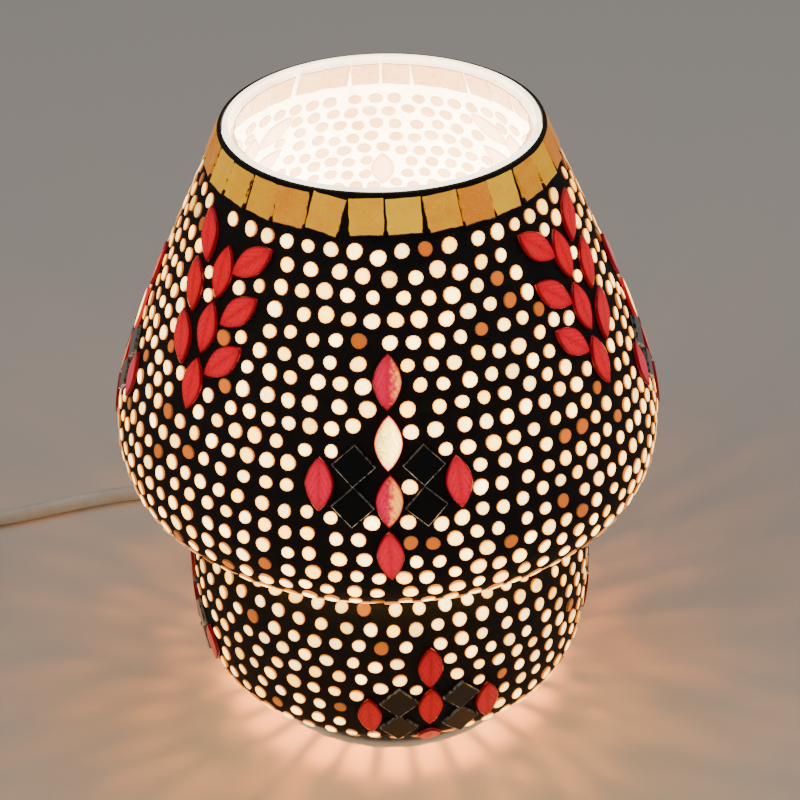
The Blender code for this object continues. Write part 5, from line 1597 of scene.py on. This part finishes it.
class Switch:
    """Inline rocker switch: two screwed half shells and a tipped rocker with grip ribs."""

    def __init__(self, flex: Flex) -> None:
        """Finds the switch's place.

        Args:
            flex: The flex that it is on.
        """
        self.length, self.width = flex.switch_length, flex.switch_width
        self.turn = math.radians(flex.heading) - math.pi
        self.place = Matrix.Translation(flex.beside(self.length / 2, 0.0)) @ Matrix.Rotation(self.turn, 4,
                                                                                             "Z")

    def build(self) -> list:
        """Builds the shells and the rocker, and dresses the parts inside.

        Returns:
            The pieces and nodes that lie on the flex.
        """
        size, rect = (self.length, self.width), rounded_rect
        lower = [rect(size[0] - 3.2, size[1] - 3.2, 7.6, 0.3), rect(size[0] - 1.4, size[1] - 1.4, 8.4, 0.6),
                 rect(size[0] - 0.4, size[1] - 0.4, 8.8, 1.2), rect(*size, 9, 2.2), rect(*size, 9, 7.6),
                 rect(size[0] - 0.6, size[1] - 0.6, 8.8, 7.9), rect(size[0] - 3.6, size[1] - 3.6, 7.6, 7.9),
                 rect(size[0] - 3.6, size[1] - 3.6, 7.6, 2.1)]
        upper = [rect(size[0] - 3.6, size[1] - 3.6, 7.6, 8.2), rect(size[0] - 0.6, size[1] - 0.6, 8.8, 8.2),
                 rect(*size, 9, 8.5), rect(*size, 9, 12.4), rect(size[0] - 0.7, size[1] - 0.7, 8.7, 13.6),
                 rect(size[0] - 2.4, size[1] - 2.4, 8, 14.9), rect(size[0] - 5.0, size[1] - 5.0, 7, 15.8),
                 rect(size[0] - 9, size[1] - 9, 6, 16.25), rect(25.4, 16.6, 2.6, 16.4), rect(24.6, 15.8,
                                                                                             2.2, 15.9),
                 rect(21.9, 13.1, 1.3, 15.8), rect(21.6, 12.8, 1.2, 15.5), rect(21.6, 12.8, 1.2, 14.4),
                 rect(size[0] - 9, size[1] - 9, 6, 14.2), rect(size[0] - 5.0, size[1] - 5.0, 7, 12.6)]
        made = [piece("switch_shell_low", mesh_of("switch_shell_low", *lofted(lower, False, self.place)),
                      ABS, "base",
                      ["switch_lower"]),
                piece("switch_shell_high", mesh_of("switch_shell_high", *lofted(upper, True, self.place)),
                      ABS, "base",
                      ["switch_upper"]), self.rocker()]
        redress(ZINC, "switch_pin", "switch_screw_1", "switch_screw_2")
        redress(BRASS, "switch_contact_1", "switch_contact_2")
        names = ("switch_pin", "switch_screw_1", "switch_screw_2", "switch_contact_1", "switch_contact_2")
        return made + [frame["nodes"][name] for name in names]

    def rocker(self) -> bpy.types.Object:
        """The rocker, tipped to its ON end, with three grip ribs on each half.

        Returns:
            The piece.
        """
        hub, tilt = 12.4, math.radians(9.0)
        top = []
        for x in np.linspace(-9.6, 9.6, 97):
            rib = 0.28 * max(0.0, math.cos((abs(x) - 6.2) * 2 * math.pi / 1.6)) if 4.2 < abs(x) < 8.3 else 0.0
            top.append((x, 4.55 + 0.85 * (x / 9.6) ** 2 + rib))
        low = [(10.2, 4.4), (10.2, 3.6), (9.4, 1.4), (3.4, 0.6), (2.2, -3.0), (-2.2, -3.0), (-3.4, 0.6),
               (-9.4, 1.4),
               (-10.2, 3.6), (-10.2, 4.4)]
        outline = top + low
        rings = []
        for y, inset in ((-5.6, 0.5), (-5.2, 0.12), (-4.8, 0.0), (4.8, 0.0), (5.2, 0.12), (5.6, 0.5)):
            rings.append([(x * (1 - inset / 11), y, z - inset * (z > 3)) for x, z in outline])
        place = self.place @ Matrix.Translation((0.0, 0.0, hub)) @ Matrix.Rotation(tilt, 4, "Y")
        return piece("switch_rocker_cap", mesh_of("switch_rocker_cap", *lofted(rings, False, place)), ABS,
                     "rocker",
                     ["switch_rocker"])


class Plug:
    """Two-pin plug: a moulded body with grip grooves, and two brass pins."""

    def __init__(self, start: tuple[float, float, float]) -> None:
        """Finds the plug's place.

        Args:
            start: Where the flex goes in; the plug points to +Y.
        """
        self.place = Matrix.Translation(start) @ Matrix.Rotation(math.pi / 2, 4, "Z")

    def build(self) -> list:
        """Builds the body and dresses the pins.

        Returns:
            The pieces and nodes on the flex.
        """
        sizes = smooth_path([(0.0, 7.4, 7.2), (6.0, 8.0, 7.6), (10.0, 10.4, 9.0), (16.0, 16.6, 11.8),
                             (23.0, 21.4, 13.2), (31.0, 24.4, 13.6), (36.4, 25.2, 13.6)], 0.6)
        rings = []
        for along, wide, tall in [*sizes, (37.4, 25.0, 13.4), (38.1, 24.4, 12.8), (38.4, 23.6, 12.0)]:
            groove = 0.9 * max(0.0,
                math.sin((along - 14.0) * 2 * math.pi / 3.2)) ** 2 if 14.0 < along < 31.0 else 0.0
            outline = rounded_rect(wide - groove, tall, tall / 2 - 0.1, 0.0, 12)
            rings.append([(along, a, b) for a, b, _ in outline])
        body = piece("plug_shell", mesh_of("plug_shell", *lofted(rings, False, self.place)), ABS, "base",
                     ["plug_body"])
        redress(BRASS, "plug_pin_1", "plug_pin_2")
        return [body, frame["nodes"]["plug_pin_1"], frame["nodes"]["plug_pin_2"]]


# ------------------------------------------------------------------------------------------- studio
@dataclass
class Studio:
    """Camera, pale floor, soft daylight and the lamp's own light."""

    distance: float = 0.60245
    elevation: float = 34.10
    target: float = 0.110
    roll: float = 1.17
    focal: float = 80.58
    shift: tuple[float, float] = (0.0155, 0.00725)

    def camera(self) -> None:
        """A camera looking down at the lamp's front."""
        data = bpy.data.cameras.new("camera")
        data.lens, data.sensor_width = self.focal, 36.0
        data.shift_x, data.shift_y = self.shift
        data.clip_start, data.clip_end = 0.01, 20.0
        made = bpy.data.objects.new("camera", data)
        bpy.context.scene.collection.objects.link(made)
        e, a = math.radians(self.elevation), math.radians(self.roll)
        ahead = Vector((0.0, math.cos(e), -math.sin(e)))
        right, up = Vector((1.0, 0.0, 0.0)), Vector((0.0, math.sin(e), math.cos(e)))
        up, right = up * math.cos(a) + right * math.sin(a), right * math.cos(a) - up * math.sin(a)
        turn = Matrix((right, up, -ahead)).transposed()
        place = Vector((0.0, 0.0, self.target)) - ahead * self.distance
        made.matrix_world = Matrix.Translation(place) @ turn.to_4x4()
        bpy.context.scene.camera = made

    def floor(self) -> bpy.types.Object:
        """A plain pale floor.

        Returns:
            The floor.
        """
        mesh = bpy.data.meshes.new("floor")
        mesh.from_pydata([(-4, -4, 0), (4, -4, 0), (4, 4, 0), (-4, 4, 0)], [], [[0, 1, 2, 3]])
        made = bpy.data.objects.new("floor", mesh)
        bpy.context.scene.collection.objects.link(made)
        paint = bpy.data.materials.new("pale_floor")
        paint.use_nodes = True
        set_shader(paint.node_tree.nodes["Principled BSDF"], Base_Color=linear("DAD5CE"), Roughness=0.6)
        mesh.materials.append(paint)
        return made

    def area(self, name: str, place: tuple, size: float, power: float, colour: str) -> None:
        """A soft square light that points at the lamp.

        Args:
            name: Its name.
            place: Where it is, in metres.
            size: Its side, in metres.
            power: Its power in watts.
            colour: Its colour.
        """
        data = bpy.data.lights.new(name, "AREA")
        data.shape, data.size, data.energy, data.color = "SQUARE", size, power, linear(colour)[:3]
        made = bpy.data.objects.new(name, data)
        bpy.context.scene.collection.objects.link(made)
        made.location = place
        made.rotation_mode = "QUATERNION"
        made.rotation_quaternion = (Vector((0, 0, 0.1)) - Vector(place)).to_track_quat("-Z", "Y")

    def glow(self, floor: bpy.types.Object) -> None:
        """The lamp's warm light on the table, streaked as by the glass dots.

        Args:
            floor: What it falls on.
        """
        data = bpy.data.lights.new("bulb_glow", "POINT")
        data.energy, data.color, data.shadow_soft_size = 0.3, linear("FF8A20")[:3], 0.002
        data.use_nodes = True
        tree = data.node_tree
        power = tree.nodes["Emission"]
        way = add(tree, "ShaderNodeTexCoord")
        cells = add(tree, "ShaderNodeTexVoronoi", {"Vector": way.outputs["Normal"], "Scale": 11.0,
                                                   "Randomness": 0.9}, feature="SMOOTH_F1")
        beams = add(tree, "ShaderNodeMapRange", {0: cells.outputs["Distance"], 1: 0.12, 2: 0.62, 3: 2.2,
                                                 4: 0.35})
        parts = add(tree, "ShaderNodeSeparateXYZ", {0: way.outputs["Normal"]}).outputs
        ring = add(tree, "ShaderNodeMapRange", {0: parts[2], 1: -0.6, 2: -0.64, 3: 0.0, 4: 1.0}).outputs[0]
        turn = add(tree, "ShaderNodeMath", {0: parts[1], 1: parts[0]}, operation="ARCTAN2").outputs[0]
        bars = add(tree, "ShaderNodeMath", {0: turn, 1: float(MosaicGlass.foot_tiles)},
                   operation="MULTIPLY").outputs[0]
        bars = add(tree, "ShaderNodeMath", {0: bars}, operation="COSINE").outputs[0]
        bars = add(tree, "ShaderNodeMapRange", {0: bars, 1: -0.75, 2: -0.45, 3: 0.3, 4: 4.4}).outputs[0]
        foot = add(tree, "ShaderNodeMath", {0: ring, 1: bars, 2: beams.outputs[0]},
                   operation="MULTIPLY_ADD").outputs[0]
        tree.links.new(foot, power.inputs["Strength"])
        made = bpy.data.objects.new("bulb_glow", data)
        made.location = (0.0, 0.0, 0.05)
        bpy.context.scene.collection.objects.link(made)
        for name, use in (("receiver_collection", floor), ("blocker_collection",
                                                           frame["nodes"]["base_plate"])):
            group = bpy.data.collections.new(f"glow_{name}")
            group.objects.link(use)
            setattr(made.light_linking, name, group)

    def build(self) -> None:
        """Sets up camera, floor and lights."""
        self.camera()
        floor = self.floor()
        world = bpy.data.worlds.new("studio")
        world.use_nodes = True
        bpy.context.scene.world = world
        back = world.node_tree.nodes["Background"]
        back.inputs[0].default_value, back.inputs[1].default_value = linear("D8D4D0"), 0.2
        self.area("window_left", (-1.3, -0.7, 1.5), 1.4, 6.5, "FFF4E8")
        self.area("window_right", (1.5, -0.2, 1.2), 1.2, 3.6, "F2F4FF")
        self.area("ceiling", (0.1, 0.7, 1.9), 1.6, 6.0, "FFFFFF")
        self.glow(floor)


# ------------------------------------------------------------------------------------------- the lamp
def main() -> None:
    """Builds the studio, then the lamp's parts in order."""
    logging.basicConfig(level=logging.INFO, format="%(name)s: %(message)s")
    for part in (Studio(), LampHolder(), Flex(), MosaicGlass(), SteelBase(), Bulb()):
        part.build()
        LOG.info("built %s", type(part).__name__)


if __name__ == "__main__":
    main()
